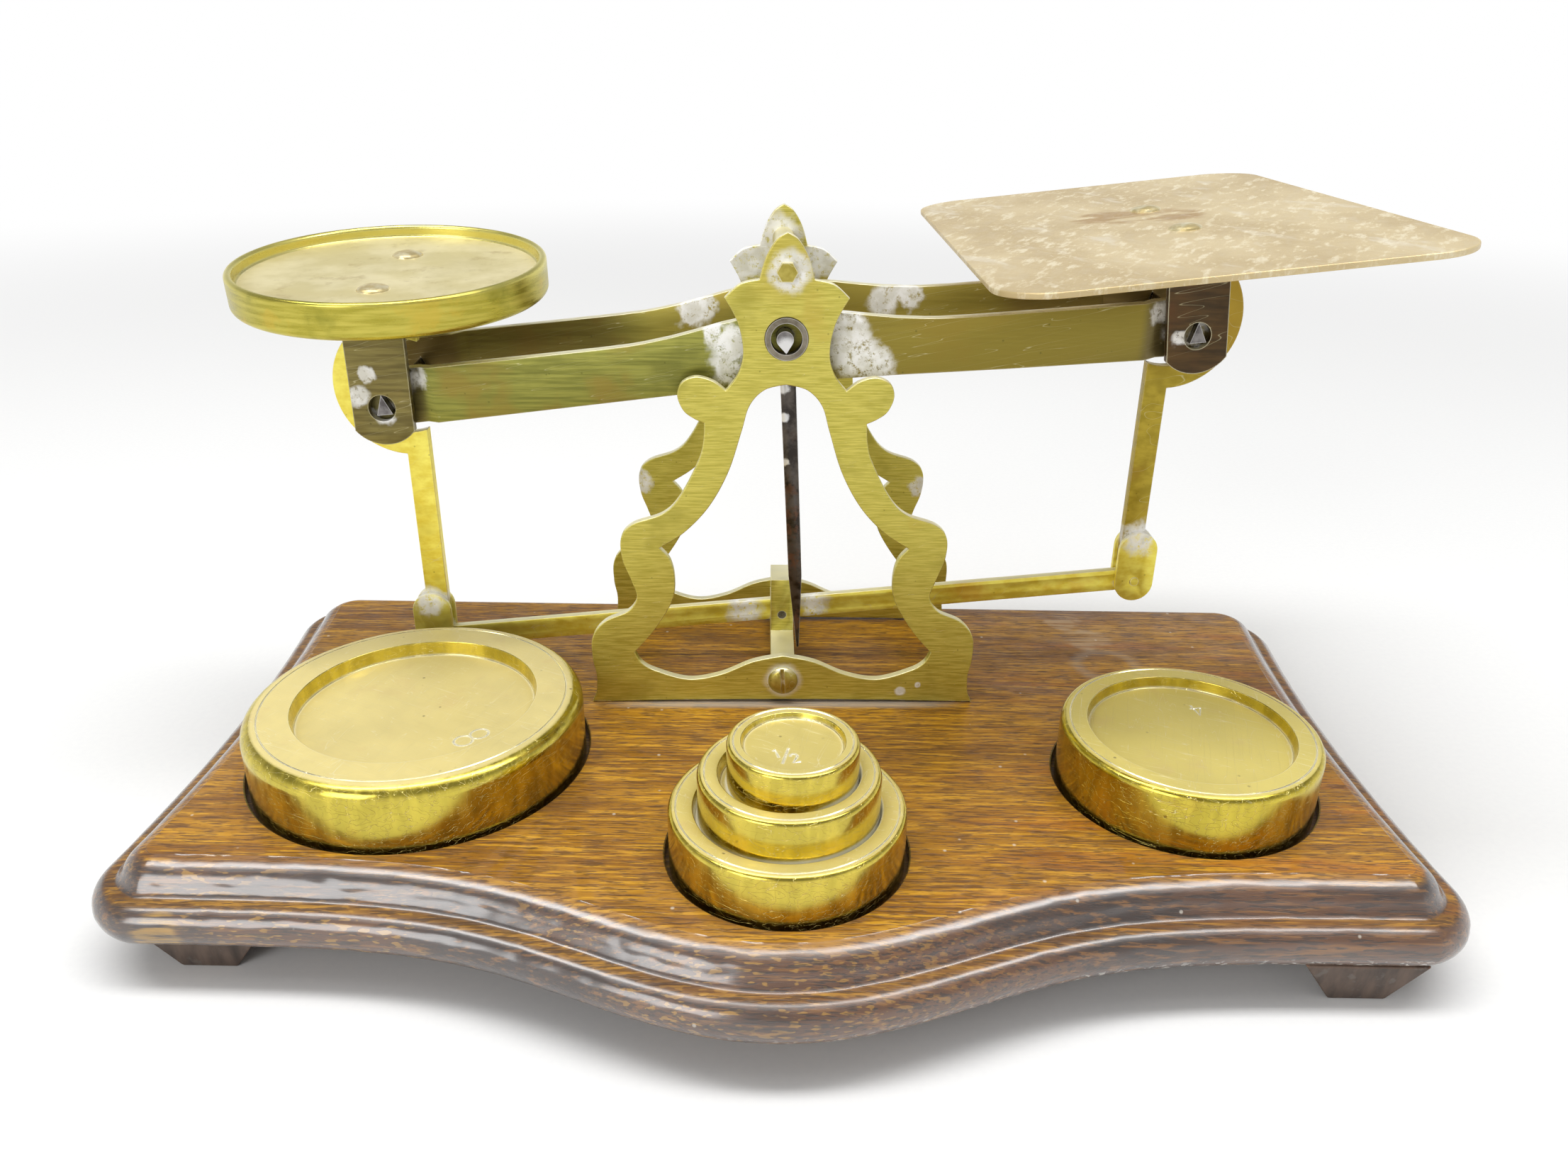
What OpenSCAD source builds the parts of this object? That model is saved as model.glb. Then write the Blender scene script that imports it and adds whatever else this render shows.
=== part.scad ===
// Letter balance on a moulded wooden base, with its nest of brass weights.
// Two fretted brass plates carry a twin bar beam on a steel knife edge. A dish for the
// weights and a plate for the letter hang from the beam's ends, and a link low down
// between the hangers' legs keeps both legs upright while the beam swings.
// X runs along the beam, Y to the back, Z up. The origin is the middle of the outline
// seen from above, at the height of the table.

/* [Base board] */
// Width of the board over its moulding
base_w = 202.5; // [190:0.5:215]
// Depth of the board's flat top, from its back edge to the straight parts of its front edge
top_d = 84.3; // [80:0.1:92]
// Thickness of the board
board_t = 11; // [9:0.5:14]
// How far the moulding stands out past the flat top
moulding_out = 8.7; // [7.5:0.1:10]
// Radius of the rounded upper edge
edge_r = 2.4; // [1.5:0.1:3]
// Radius of the half round bead at the foot of the moulding
bead_r = 3.4; // [2.6:0.1:3.8]
// How far the bow in the front edge stands out at its middle
bow_out = 16.4; // [12:0.2:20]
// Half the width of the bow, where it has sunk to about a third
bow_half_w = 34; // [28:1:38]
// Radius of the flat top's back corners
back_corner_r = 3; // [2:0.5:8]
// Radius of the flat top's front corners
front_corner_r = 2.5; // [1:0.5:5]
// How far the sides are hollowed in the middle
side_hollow = 2.4; // [0:0.1:4]
// How many degrees the board has turned under its frame, left side to the back
board_turn = 1.7; // [0:0.1:3]
// Depth of the round recesses for the weights
recess_depth = 2; // [1.5:0.1:3]
// Gap round a weight in its recess
recess_gap = 0.6; // [0.3:0.1:1]

/* [Feet] */
// Height of the feet
foot_h = 7; // [5:0.5:10]
// Width of a foot where it meets the board
foot_top_w = 18; // [14:0.5:22]
// Width of a foot on the table
foot_low_w = 8.2; // [7:0.1:13]
// Depth of a foot where it meets the board
foot_top_d = 13; // [11:0.5:17]
// Depth of a foot on the table
foot_low_d = 11; // [7:0.5:13]
// Distance from the board's sides to the middle of a foot
foot_in_x = 17; // [15:0.5:22]
// Distance from the moulding's front and back to the middle of a foot
foot_in_y = 10.9; // [10:0.1:16]
// How much nearer to the front edge the right front foot was glued
right_foot_out = 2.6; // [0:0.1:3]

/* [Frame] */
// Distance from the flat top's back edge to the middle of the frame
frame_in = 21.3; // [18.5:0.1:24]
// Distance between the two plates
frame_gap = 31.5; // [30:0.5:36]
// Thickness of a plate
plate_t = 1.5; // [1:0.1:2]
// Height of the bearings' middle above the board
bearing_h = 65.3; // [62:0.1:72]
// How much the plates' lower edge is arched up in the middle
sole_rise = 0.5; // [0.2:0.1:1]
// Outside radius of a steel bearing ring
ring_r = 3.35; // [3:0.05:4]
// Bore radius of a bearing ring
ring_bore_r = 2.47; // [2.3:0.01:2.7]
// How far a ring stands proud of its plate
ring_proud = 0.2; // [0.1:0.1:0.6]
// Radius of the stretcher between the finials
stretcher_r = 2; // [1.5:0.1:2.5]
// Radius of the stretcher's riveted ends
stretcher_end_r = 1.1; // [0.8:0.1:1.4]
// Width across the corners of the stretcher's six sided heads
stretcher_head_w = 3.3; // [2.8:0.1:3.8]
// Height of those heads
stretcher_head_h = 0.9; // [0.5:0.1:1.4]
// Height of the stretcher above the bearings' middle
stretcher_up = 10.3; // [9:0.1:10.6]

/* [Cross bar and post] */
// Width of the cross bar and its post
cross_w = 4.2; // [3.8:0.1:5]
// Height of the cross bar
cross_h = 7.3; // [7.2:0.1:7.6]
// Depth of the post from front to back
post_d = 7; // [6:0.5:9]
// Height of the post's top above the board
post_h = 17.7; // [16:0.1:20]
// Height of the lower link's pin above the board
post_pin_h = 10.6; // [10.4:0.1:11]
// Height of the frame screws above the board
screw_h = 4.5; // [4.3:0.1:4.7]
// Radius of a frame screw's head
screw_head_r = 2.6; // [2.3:0.1:3]
// Radius of a frame screw's shank
screw_r = 1; // [0.8:0.1:1.2]
// How far a frame screw enters the cross bar
screw_grip = 7; // [4:0.5:9]
// Radius of the wood screw that holds the cross bar from below
wood_screw_r = 1.3; // [1:0.1:1.5]
// Radius of the wood screw's sunk head
wood_screw_head_r = 2.9; // [2.4:0.1:3.4]
// How far the wood screw enters the cross bar
wood_screw_grip = 5; // [3:0.5:6]

/* [Beam] */
// Length of each arm, from the middle knife edge to an end one
beam_arm = 65.6; // [63:0.1:68]
// How far the end knife edges lie below the middle one
end_drop = 1.5; // [0.8:0.1:2]
// How far the beam leans at rest, dish down
rest_tilt = 5.5; // [4.5:0.1:6]
// Thickness of a beam bar
bar_t = 2; // [1.6:0.1:2.2]
// Gap between a beam bar and the frame's plate beside it
bar_side_gap = 1.75; // [1.2:0.05:2.2]
// How far a bar's end is set in, so that it passes behind the hanger's ear
bar_set_in = 1.4; // [1.2:0.1:1.6]
// Height of a bar above the middle knife edge, at its hump
hump_up = 5.4; // [4.6:0.1:6]
// Height of a bar above the middle knife edge, along its arms
arm_up = 2.6; // [2:0.1:3]
// Depth of a bar below the middle knife edge, at its middle
middle_down = 5.3; // [4.8:0.1:6]
// Depth of a bar below the middle knife edge, at its ends
end_down = 7.1; // [6.4:0.1:7.6]
// How far a bar runs on past the end knife
bar_past = 4.2; // [3.4:0.1:4.5]
// Radius of the middle knife's round back
knife_back_r = 1.35; // [1.2:0.05:1.5]
// Height of the middle knife
knife_h = 3.6; // [3.2:0.1:4]
// Width of an end knife's flat side
end_knife_w = 2.6; // [2.2:0.1:2.8]
// Height of an end knife
end_knife_h = 3.3; // [2.8:0.1:3.4]

/* [Pointer] */
// Width of the pointer at its top
pointer_w = 2.6; // [2:0.1:3]
// Width of the pointer where its point begins
pointer_low_w = 2.3; // [1.8:0.1:2.6]
// Length of the tapered point
pointer_taper = 14; // [10:1:20]
// Thickness of the pointer
pointer_t = 0.9; // [0.6:0.1:1.2]
// How far the pointer has been set off square to the beam
pointer_set = 2.8; // [0:0.1:4]
// Gap between the pointer's tip and the cross bar below it
pointer_gap = 1; // [0.5:0.1:3]
// Radius of the pointer's rivet
pointer_rivet_r = 0.8; // [0.6:0.05:1]
// Distance from the middle knife edge down to that rivet
pointer_rivet_down = 3; // [2.4:0.1:3.4]

/* [Hangers] */
// Radius of the holes in the ears that ride on the end knives
ear_hole_r = 2.16; // [2.1:0.01:2.3]
// Width of an ear
ear_w = 9.6; // [8.6:0.1:10]
// Distance from the hole's middle to the ear's round end
ear_end_r = 6.1; // [5.6:0.1:6.6]
// Thickness of the bracket's strip
bracket_t = 1.4; // [1:0.1:1.6]
// Inside bend radius of the bracket
bend_r = 1.2; // [0.8:0.1:2]
// Height of the bracket's top above the middle of its holes
bracket_h = 15.4; // [14.6:0.1:17]
// Thickness of the leg's strip
leg_t = 1.9; // [1.6:0.1:2.2]
// Width of the leg's strip
leg_w = 4; // [3.4:0.1:4.6]
// How far the leg stands inward of the knife
leg_inward = 1; // [0:0.1:1.5]
// Outside radius of the hook at the leg's top
hook_r = 12.2; // [11.4:0.1:12.6]
// Width of a fork leaf
leaf_w = 7; // [6:0.1:7.6]
// Thickness of a fork leaf
leaf_t = 1; // [0.7:0.1:1.3]
// How far a leaf reaches above its pin
leaf_up = 9.6; // [8.8:0.1:11]
// Gap between the lowest leaf and the board at rest
stop_gap = 0.4; // [0.3:0.05:0.8]
// Radius of the link's pins
pin_r = 0.8; // [0.7:0.05:0.95]
// How far a fork pin stands out of its leaves
pin_proud = 0.25; // [0.1:0.05:0.5]

/* [Lower link] */
// Height of the link's strip
link_h = 4.1; // [3.8:0.1:4.3]
// Thickness of the link's strip
link_t = 1.4; // [1:0.1:1.5]

/* [Dish for the weights] */
// Outside radius of the dish
dish_r = 25.4; // [23:0.1:28]
// Height of the dish
dish_h = 5.8; // [5:0.1:7]
// Depth of the dish inside its rim
dish_depth = 2; // [1.5:0.1:3]
// Width of the dish's rim
dish_rim = 1.3; // [1:0.1:2]
// How far the dish leans to the front
dish_lean = 4.8; // [0:0.1:6]
// Radius of the heads of the rivets that hold the dish and the letter plate
rivet_head_r = 2.6; // [2.2:0.1:2.9]
// Height of those heads
rivet_head_h = 0.8; // [0.5:0.1:1.1]
// Radius of their shanks
rivet_r = 1; // [0.8:0.1:1.1]
// Distance from the frame's middle to each rivet
rivet_y = 10.6; // [8:0.1:10.6]

/* [Letter plate] */
// Width of the letter plate along the beam
letter_w = 65; // [58:0.5:68]
// Depth of the letter plate
letter_d = 94; // [84:1:104]
// Thickness of the letter plate
letter_t = 0.9; // [0.7:0.1:1.4]
// Radius of the letter plate's corners
letter_corner_r = 9; // [4:0.5:14]
// How far the letter plate and its bracket lean inward
letter_lean = 6.3; // [0:0.1:6.6]
// How far the letter plate's middle lies inward of its bracket's
letter_inward = 4.4; // [0:0.1:5]

/* [Weights] */
// Outside radii of the five weights, largest first
weight_r = [26.7, 20.05, 17.3, 13.2, 9.45];
// Heights of the five weights
weight_h = [12.4, 11.8, 10, 7.9, 7];
// Radii of the recesses in the weights' tops
weight_recess_r = [19.2, 15.9, 13.7, 10.25, 7.4];
// Depths of those recesses
weight_recess_d = [2.5, 1.9, 2.2, 2.2, 0.9];
// Radii of the weights' rounded shoulders
weight_shoulder_r = [2.4, 1.2, 0.9, 0.8, 0.7];
// Where the largest weight stands between the plate's foot and the flat top's side, 0 to 1
oz8_share = 0.443; // [0.43:0.001:0.46]
// Distance of the largest weight from the straight front of the flat top
oz8_in = 29.7; // [27:0.1:31]
// Distance of the second weight from the side and from the straight front of the flat top
oz4_in = [28.45, 21.6];
// Distance of the nest of the three small weights from the straight front of the flat top
oz2_in = 3.9; // [2:0.1:8]
// How far the two smallest weights sit to the right in the recesses below them
nest_shift = [0.2, 0.5];

/* [Fits] */
// Gap round a pressed, riveted or screwed piece
press_gap = 0.02; // [0.01:0.01:0.05]
// Gap round a pin that turns
run_gap = 0.05; // [0.03:0.01:0.1]
// Gap between a knife edge and the top or foot of its round bearing
edge_gap = 0.03; // [0.02:0.01:0.06]
// Gap round the fork pins, which takes up the drop between the knife edges
fork_gap = 0.25; // [0.22:0.01:0.4]
// Gap beside a flat piece that moves past another
side_gap = 0.3; // [0.25:0.05:0.4]

/* [Hidden] */
$fn = 64;

// Colours of the metals and the wood
walnut = [0.36, 0.19, 0.08];
dark_wood = [0.16, 0.11, 0.08];
frame_brass = [0.62, 0.55, 0.16];
beam_brass = [0.60, 0.50, 0.20];
weight_brass = [0.72, 0.60, 0.22];
plate_brass = [0.72, 0.56, 0.42];
bracket_brass = [0.42, 0.30, 0.16];
dark_steel = [0.28, 0.26, 0.25];
ring_steel = [0.50, 0.49, 0.47];

// Heights and the frame's place in depth
board_top = foot_h + board_t;
top_half_w = base_w / 2 - moulding_out;
front_reach = top_d - frame_in + bow_out + moulding_out;
back_reach = max(frame_in + moulding_out, letter_d / 2);
mid_y = (front_reach - back_reach) / 2;
top_back_y = mid_y + frame_in;
top_front_y = top_back_y - top_d;
top_mid_y = (top_front_y + top_back_y) / 2;
plate_foot_half_w = 33.9;

// Angles of the saw cuts in the front and the rear frame screw
cut_angles = [-4, 24];

// Frame and beam: faces measured in Y from the frame's middle
frame_half = frame_gap / 2 + plate_t;
bar_out = frame_gap / 2 - bar_side_gap;
bar_in = bar_out - bar_t;
ear_in = bar_out - bar_set_in + side_gap;
ear_out = ear_in + bracket_t;

// Beam: heights measured from the board, and the end knives' places at rest
pivot_h = bearing_h - ring_bore_r + edge_gap;
leg_len = pivot_h - end_drop - post_pin_h;
set_in_end = beam_arm - ear_w / 2 - 1.5;
set_in_start = set_in_end - bar_t;
hole_down = ear_hole_r - edge_gap;
fork_pin_rest_h = post_pin_h - beam_arm * sin(rest_tilt);
leaf_down = fork_pin_rest_h - stop_gap;
pointer_len = pivot_h - cross_h - pointer_gap;
slot_h = link_h + 4 * side_gap;
hook_bore_r = hook_r - leg_w;

// Distance of the letter plate's rivets inward of the bracket's middle
letter_rivet_in = ear_w / 2 - rivet_head_r - 0.7;

// Heights of the floors on which the weights stand
recess_floor = board_top - recess_depth;
oz1_floor = recess_floor + weight_h[2] - weight_recess_d[2];
half_oz_floor = oz1_floor + weight_h[3] - weight_recess_d[3];

// Points per stretch of a smooth curve, and degrees per step of a small arc
curve_steps = 3;
arc_step = 15;
tiny = 0.01;

// Catmull-Rom curve through the points, open ended
function curve(p, n = curve_steps) =
    let (last = len(p) - 1)
    [for (i = [0 : last - 1], k = [0 : n - 1])
        let (
            a = p[max(i - 1, 0)],
            b = p[i],
            c = p[i + 1],
            d = p[min(i + 2, last)],
            t = k / n
        )
        0.5 * (2 * b + (c - a) * t + (2 * a - 5 * b + 4 * c - d) * t * t
            + (3 * b - a - 3 * c + d) * t * t * t)
    ];

function reversed(p) = [for (i = [len(p) - 1 : -1 : 0]) p[i]];
function flipped(p) = [for (q = p) [-q.x, q.y]];
function unit(v) = v / norm(v);
function turn(a) = a > 180 ? a - 360 : a < -180 ? a + 360 : a;

// Arc of radius r round c, from angle a0 to a1
function arc(c, r, a0, a1) =
    let (n = ceil(abs(a1 - a0) / arc_step))
    [for (i = [0 : n]) c + r * [cos(a0 + (a1 - a0) * i / n), sin(a0 + (a1 - a0) * i / n)]];

// One corner of an outline, rounded to the radius r
function corner(a, p, b, r) =
    let (
        u = unit(a - p),
        v = unit(b - p),
        half = acos(u * v) / 2,
        c = p + unit(u + v) * r / sin(half),
        s = p + u * r / tan(half) - c,
        e = p + v * r / tan(half) - c,
        a0 = atan2(s.y, s.x)
    )
    arc(c, r, a0, a0 + turn(atan2(e.y, e.x) - a0));

// Outline whose points are [x, y, corner radius]
function rounded(p) =
    let (n = len(p))
    [for (i = [0 : n - 1])
        let (
            a = p[(i + n - 1) % n],
            q = p[i],
            b = p[(i + 1) % n]
        )
        each (q[2] == 0 ? [[q.x, q.y]] : corner([a.x, a.y], [q.x, q.y], [b.x, b.y], q[2]))
    ];

// Slab of an outline drawn in X and Z, from y0 to y1
module slab(y0, y1) {
    translate([0, y1, 0])
        rotate([90, 0, 0])
            linear_extrude(y1 - y0)
                children();
}

// Round bar along Y, from y0 to y1
module round_bar(r, y0, y1) {
    translate([0, y1, 0])
        rotate([90, 0, 0])
            cylinder(r = r, h = y1 - y0);
}

// Frame's middle on the board's top
module at_frame() {
    translate([0, mid_y, board_top])
        children();
}

// Beam's own frame: origin on the middle knife edge, leaning as at rest
module on_beam() {
    translate([0, mid_y, board_top + pivot_h])
        rotate([0, -rest_tilt, 0])
            children();
}

// Hanger's frame: origin on its knife edge, X pointing outward. side is -1 left, 1 right
module at_hanger(side) {
    run = side * beam_arm * cos(rest_tilt) + end_drop * sin(rest_tilt);
    rise = side * beam_arm * sin(rest_tilt) - end_drop * cos(rest_tilt);
    translate([run, mid_y, board_top + pivot_h + rise])
        mirror([side < 0 ? 1 : 0, 0, 0])
            children();
}

// Bracket's frame: origin in the middle between its two holes, leaning inward
module in_bracket(lean) {
    translate([0, 0, -hole_down])
        rotate([0, -lean, 0])
            children();
}

// Bracket's top: origin in the middle of its upper face, tipped to the front
module on_bracket(lean, tip) {
    in_bracket(lean)
        translate([0, 0, bracket_h])
            rotate([tip, 0, 0])
                children();
}

// Turns whatever belongs to the board about the middle of its flat top
module turned_with_board() {
    translate([0, top_mid_y, 0])
        rotate([0, 0, -board_turn])
            children();
}

// Flat top's front edge sinks back from the bow, and its sides are a little hollow.
// Both are measured from the flat top's middle.
function bow(x) = bow_out * exp(-pow(x / bow_half_w, 2));
function bow_slope(x) = bow(x) * 2 * x / pow(bow_half_w, 2);
function side_x(y) = top_half_w - side_hollow * (1 - pow(2 * y / top_d, 2));
function side_normal(y) = unit([1, -8 * side_hollow * y / pow(top_d, 2)]);

// Right hand corner of the flat top grown outward by g: end is -1 front, 1 back
function board_corner(end, r, a0, a1, g) =
    let (
        y = end * (top_d / 2 - r),
        c = [side_x(y), y] - r * side_normal(y)
    )
    arc(c, r + g, a0, a1);

// Flat top's outline grown outward by g
function board_outline(g) =
    let (
        lean = atan(4 * side_hollow / top_d),
        xf = side_x(top_d / 2) - front_corner_r,
        front_steps = 30,
        side_steps = 6,
        front = [for (i = [0 : front_steps])
            let (x = xf * (2 * i / front_steps - 1))
            [x, -top_d / 2 - bow(x)] + g * unit([bow_slope(x), -1])],
        side = [for (i = [1 : side_steps - 1])
            let (y = top_d * (i / side_steps - 0.5))
            [side_x(y), y] + g * side_normal(y)],
        right = concat(
            board_corner(-1, front_corner_r, -75, lean, g),
            side,
            board_corner(1, back_corner_r, -lean, 90, g)
        )
    )
    concat(front, right, reversed(flipped(right)));

// Moulding's section as [distance out, height above the table], from the top edge down
bead_out = moulding_out - bead_r;
cove_top = board_top - edge_r - 0.2;
cove_foot = foot_h + 2 * bead_r;
moulding = concat(
    [for (a = [0 : 18 : 90]) [edge_r * sin(a), board_top - edge_r * (1 - cos(a))]],
    [for (a = [0 : 22.5 : 67.5])
        [edge_r + (bead_out - edge_r) * (1 - cos(a)), cove_top - (cove_top - cove_foot) * sin(a)]],
    [for (a = [90 : -18 : -90]) [bead_out + bead_r * cos(a), foot_h + bead_r + bead_r * sin(a)]]
);

// The board without its recesses: the moulding's section carried round the outline
module board_blank() {
    rings = [for (m = moulding) [for (p = board_outline(m[0])) [p.x, p.y, m[1]]]];
    n = len(rings[0]);
    last = len(rings) - 1;
    points = [for (ring = rings) each ring];
    sides = [for (k = [0 : last - 1], i = [0 : n - 1])
        let (
            j = (i + 1) % n,
            a = k * n + i,
            b = k * n + j,
            c = a + n,
            d = b + n
        )
        each [[a, b, d], [a, d, c]]];
    // Both flat faces are fans about a point in the middle of the board
    middles = [[0, 0, board_top], [0, 0, foot_h]];
    hub = len(points);
    top = [for (i = [0 : n - 1]) [hub, (i + 1) % n, i]];
    underside = [for (i = [0 : n - 1]) [hub + 1, last * n + i, last * n + (i + 1) % n]];
    turned_with_board()
        polyhedron(concat(points, middles), concat(top, underside, sides), convexity = 6);
}

// Places of the weights' recesses
oz8_place = [
    -plate_foot_half_w - oz8_share * (top_half_w - plate_foot_half_w),
    top_front_y + oz8_in
];
oz4_place = [top_half_w - oz4_in[0], top_front_y + oz4_in[1]];
oz2_place = [0, top_front_y + oz2_in];
recess_places = [oz8_place, oz4_place, oz2_place];

module base_board() {
    color(walnut)
        difference() {
            board_blank();
            for (i = [0 : 2])
                translate([recess_places[i].x, recess_places[i].y, board_top - recess_depth])
                    cylinder(r = weight_r[i] + recess_gap, h = recess_depth + 1);
            translate([0, mid_y, foot_h - 1])
                cylinder(r = wood_screw_r + press_gap, h = board_t + 2);
            translate([0, mid_y, foot_h - tiny])
                wood_screw_head(press_gap + tiny);
        }
}

// Cone of a sunk screw head, widest at the underside of the board
module wood_screw_head(gap) {
    cylinder(r1 = wood_screw_head_r + gap, r2 = wood_screw_r + gap, h = wood_screw_head_r - wood_screw_r);
}

module foot() {
    intersection() {
        slab(-foot_top_d, foot_top_d)
            polygon([
                [-foot_low_w / 2, 0], [foot_low_w / 2, 0],
                [foot_top_w / 2, foot_h], [-foot_top_w / 2, foot_h]
            ]);
        rotate([90, 0, 90])
            linear_extrude(2 * foot_top_w, center = true)
                polygon([
                    [-foot_low_d / 2, 0], [foot_low_d / 2, 0],
                    [foot_top_d / 2, foot_h], [-foot_top_d / 2, foot_h]
                ]);
    }
}

module feet() {
    out_x = base_w / 2 - foot_in_x;
    out_y = top_d / 2 + moulding_out - foot_in_y;
    color(dark_wood)
        turned_with_board()
            for (p = [[-out_x, -out_y], [out_x, -out_y - right_foot_out], [-out_x, out_y], [out_x, out_y]])
                translate([p.x, p.y, 0])
                    foot();
}

// Right half of a plate's outline. The head's points are measured up from the
// bearing, and the leg's and the foot's up from the board.
function from_bearing(p) = [for (q = p) [q.x, q.y + bearing_h]];
finial = from_bearing([[0, 16.1], [1.7, 15], [3.3, 12.3], [4.25, 9.1]]);
shoulder = from_bearing([[4.25, 9.1], [7.2, 8.4], [9.65, 6.3]]);
waist = from_bearing([[9.65, 6.3], [7.6, 2.4], [6.8, -2.1], [7.6, -5.6], [9.6, -8.3]]);
lobe = from_bearing([[9.6, -8.3], [11.6, -6.8], [14.3, -6.1], [16.6, -7.1], [17.3, -9.2],
    [16.4, -11.6], [14.8, -12.9], [13.1, -13.7]]);
leg_outside = concat(
    from_bearing([[13.1, -13.7], [13.3, -16.8], [14.2, -20.2]]),
    [[17.3, 39.1], [20.3, 36], [25.4, 34.1], [27.4, 31.6], [27.3, 27.6], [26, 23.8], [25.2, 20.6],
        [26.8, 18], [30.9, 16], [33.2, 12.9], [33.4, 8.6], [32.9, 5.3], [33.1, 2], [plate_foot_half_w, 0]]
);
arch = concat(
    from_bearing([[0, -7.3], [3.4, -8.2], [5.8, -10.8], [7.1, -15.1], [9.3, -22]]),
    [[12.6, 37.2], [16.8, 32.6], [21, 29.8]]
);
calf = [[21, 29.8], [19.3, 27.6], [18.6, 24], [19.2, 19.8], [22.5, 14.2], [26, 10]];
rail = [[26, 10], [24.9, 7.9], [22.4, 6.3], [16.7, 4.6], [11, 5.6], [5.4, 8.1], [0, 9.3]];
sole = [[plate_foot_half_w, 0], [17, sole_rise * 0.8], [0, sole_rise]];

function both_halves(p) = concat(p, reversed(flipped(p)));

module frame_plate_outline() {
    outside = concat(
        curve(finial), curve(shoulder), curve(waist), curve(lobe), curve(leg_outside), curve(sole)
    );
    inside = concat(curve(arch), curve(calf), curve(rail));
    difference() {
        polygon(both_halves(outside));
        polygon(both_halves(inside));
    }
}

// Plate with its outer face away from the frame's middle. side is -1 front, 1 rear
module frame_plate(side) {
    y0 = side > 0 ? frame_gap / 2 : -frame_half;
    color(frame_brass)
        at_frame()
            difference() {
                slab(y0, y0 + plate_t)
                    frame_plate_outline();
                translate([0, 0, bearing_h])
                    round_bar(ring_r + press_gap, y0 - 1, y0 + plate_t + 1);
                translate([0, 0, bearing_h + stretcher_up])
                    round_bar(stretcher_end_r + press_gap, y0 - 1, y0 + plate_t + 1);
                translate([0, 0, screw_h])
                    round_bar(screw_r + press_gap, y0 - 1, y0 + plate_t + 1);
            }
}

module front_frame_plate() {
    frame_plate(-1);
}

module rear_frame_plate() {
    frame_plate(1);
}

module bearing_rings() {
    color(ring_steel)
        at_frame()
            for (side = [-1, 1])
                scale([1, side, 1])
                    translate([0, 0, bearing_h])
                        difference() {
                            round_bar(ring_r, frame_gap / 2, frame_half + ring_proud);
                            round_bar(ring_bore_r, frame_gap / 2 - 1, frame_half + 1);
                        }
}

module top_stretcher() {
    color(frame_brass)
        at_frame()
            translate([0, 0, bearing_h + stretcher_up]) {
                round_bar(stretcher_r, -frame_gap / 2, frame_gap / 2);
                round_bar(stretcher_end_r, -frame_half - tiny, frame_half + tiny);
                for (side = [-1, 1])
                    rotate([side * 90, 0, 0])
                        translate([0, 0, frame_half])
                            cylinder(d = stretcher_head_w, h = stretcher_head_h, $fn = 6);
            }
}

module cross_bar() {
    color(beam_brass)
        at_frame()
            difference() {
                union() {
                    translate([-cross_w / 2, -frame_gap / 2, 0])
                        cube([cross_w, frame_gap, cross_h]);
                    translate([-cross_w / 2, -post_d / 2, 0])
                        cube([cross_w, post_d, post_h]);
                }
                translate([-cross_w, -link_t / 2 - side_gap, post_pin_h - slot_h / 2])
                    cube([2 * cross_w, link_t + 2 * side_gap, slot_h]);
                translate([0, 0, post_pin_h])
                    round_bar(pin_r + press_gap, -post_d, post_d);
                for (side = [-1, 1])
                    scale([1, side, 1])
                        translate([0, 0, screw_h])
                            round_bar(screw_r + press_gap, frame_gap / 2 - screw_grip, frame_gap);
                translate([0, 0, -1])
                    cylinder(r = wood_screw_r + press_gap, h = wood_screw_grip + 1);
            }
}

module post_pin() {
    color(dark_steel)
        at_frame()
            translate([0, 0, post_pin_h])
                round_bar(pin_r, -post_d / 2, post_d / 2);
}

// Round headed screw with a saw cut, its head's foot at z = 0 and its shank below
module round_head_screw(head_r, r, grip) {
    head_h = head_r / 2;
    cut_w = head_r / 4;
    difference() {
        union() {
            rotate_extrude()
                polygon([
                    [0, 0], [head_r, 0], [head_r, head_h * 0.3],
                    [head_r * 0.85, head_h * 0.68], [head_r * 0.5, head_h * 0.93], [0, head_h]
                ]);
            translate([0, 0, -grip])
                cylinder(r = r, h = grip);
        }
        translate([-cut_w / 2, -head_r - 1, head_h * 0.45])
            cube([cut_w, 2 * head_r + 2, head_h]);
    }
}

module frame_screws() {
    color(frame_brass)
        at_frame()
            for (side = [-1, 1])
                scale([1, side, 1])
                    translate([0, frame_half, screw_h])
                        rotate([-90, 0, 0])
                            rotate([0, 0, side < 0 ? cut_angles[0] : cut_angles[1]])
                                round_head_screw(screw_head_r, screw_r, plate_t + screw_grip);
}

module base_screw() {
    color(dark_steel)
        translate([0, mid_y, foot_h]) {
            difference() {
                wood_screw_head(0);
                translate([-0.4, -wood_screw_head_r, -tiny])
                    cube([0.8, 2 * wood_screw_head_r, 0.7]);
            }
            translate([0, 0, wood_screw_head_r - wood_screw_r - tiny])
                cylinder(r = wood_screw_r, h = board_t + wood_screw_grip - wood_screw_head_r + wood_screw_r);
        }
}

// Section of the middle knife, edge down at the origin and back rounded
module knife_section(gap) {
    r = knife_back_r + gap;
    c = knife_h - knife_back_r;
    tip = -gap * knife_h / knife_back_r;
    lean = asin(r / (c - tip));
    polygon(concat([[0, tip]], arc([0, c], r, -lean, 180 + lean)));
}

// Section of an end knife, edge up at the origin
module end_knife_section(gap) {
    slope = atan2(end_knife_w / 2, end_knife_h);
    polygon([
        [0, gap / sin(slope)],
        [end_knife_w / 2 + 2 * gap, -end_knife_h - gap],
        [-end_knife_w / 2 - 2 * gap, -end_knife_h - gap]
    ]);
}

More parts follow.
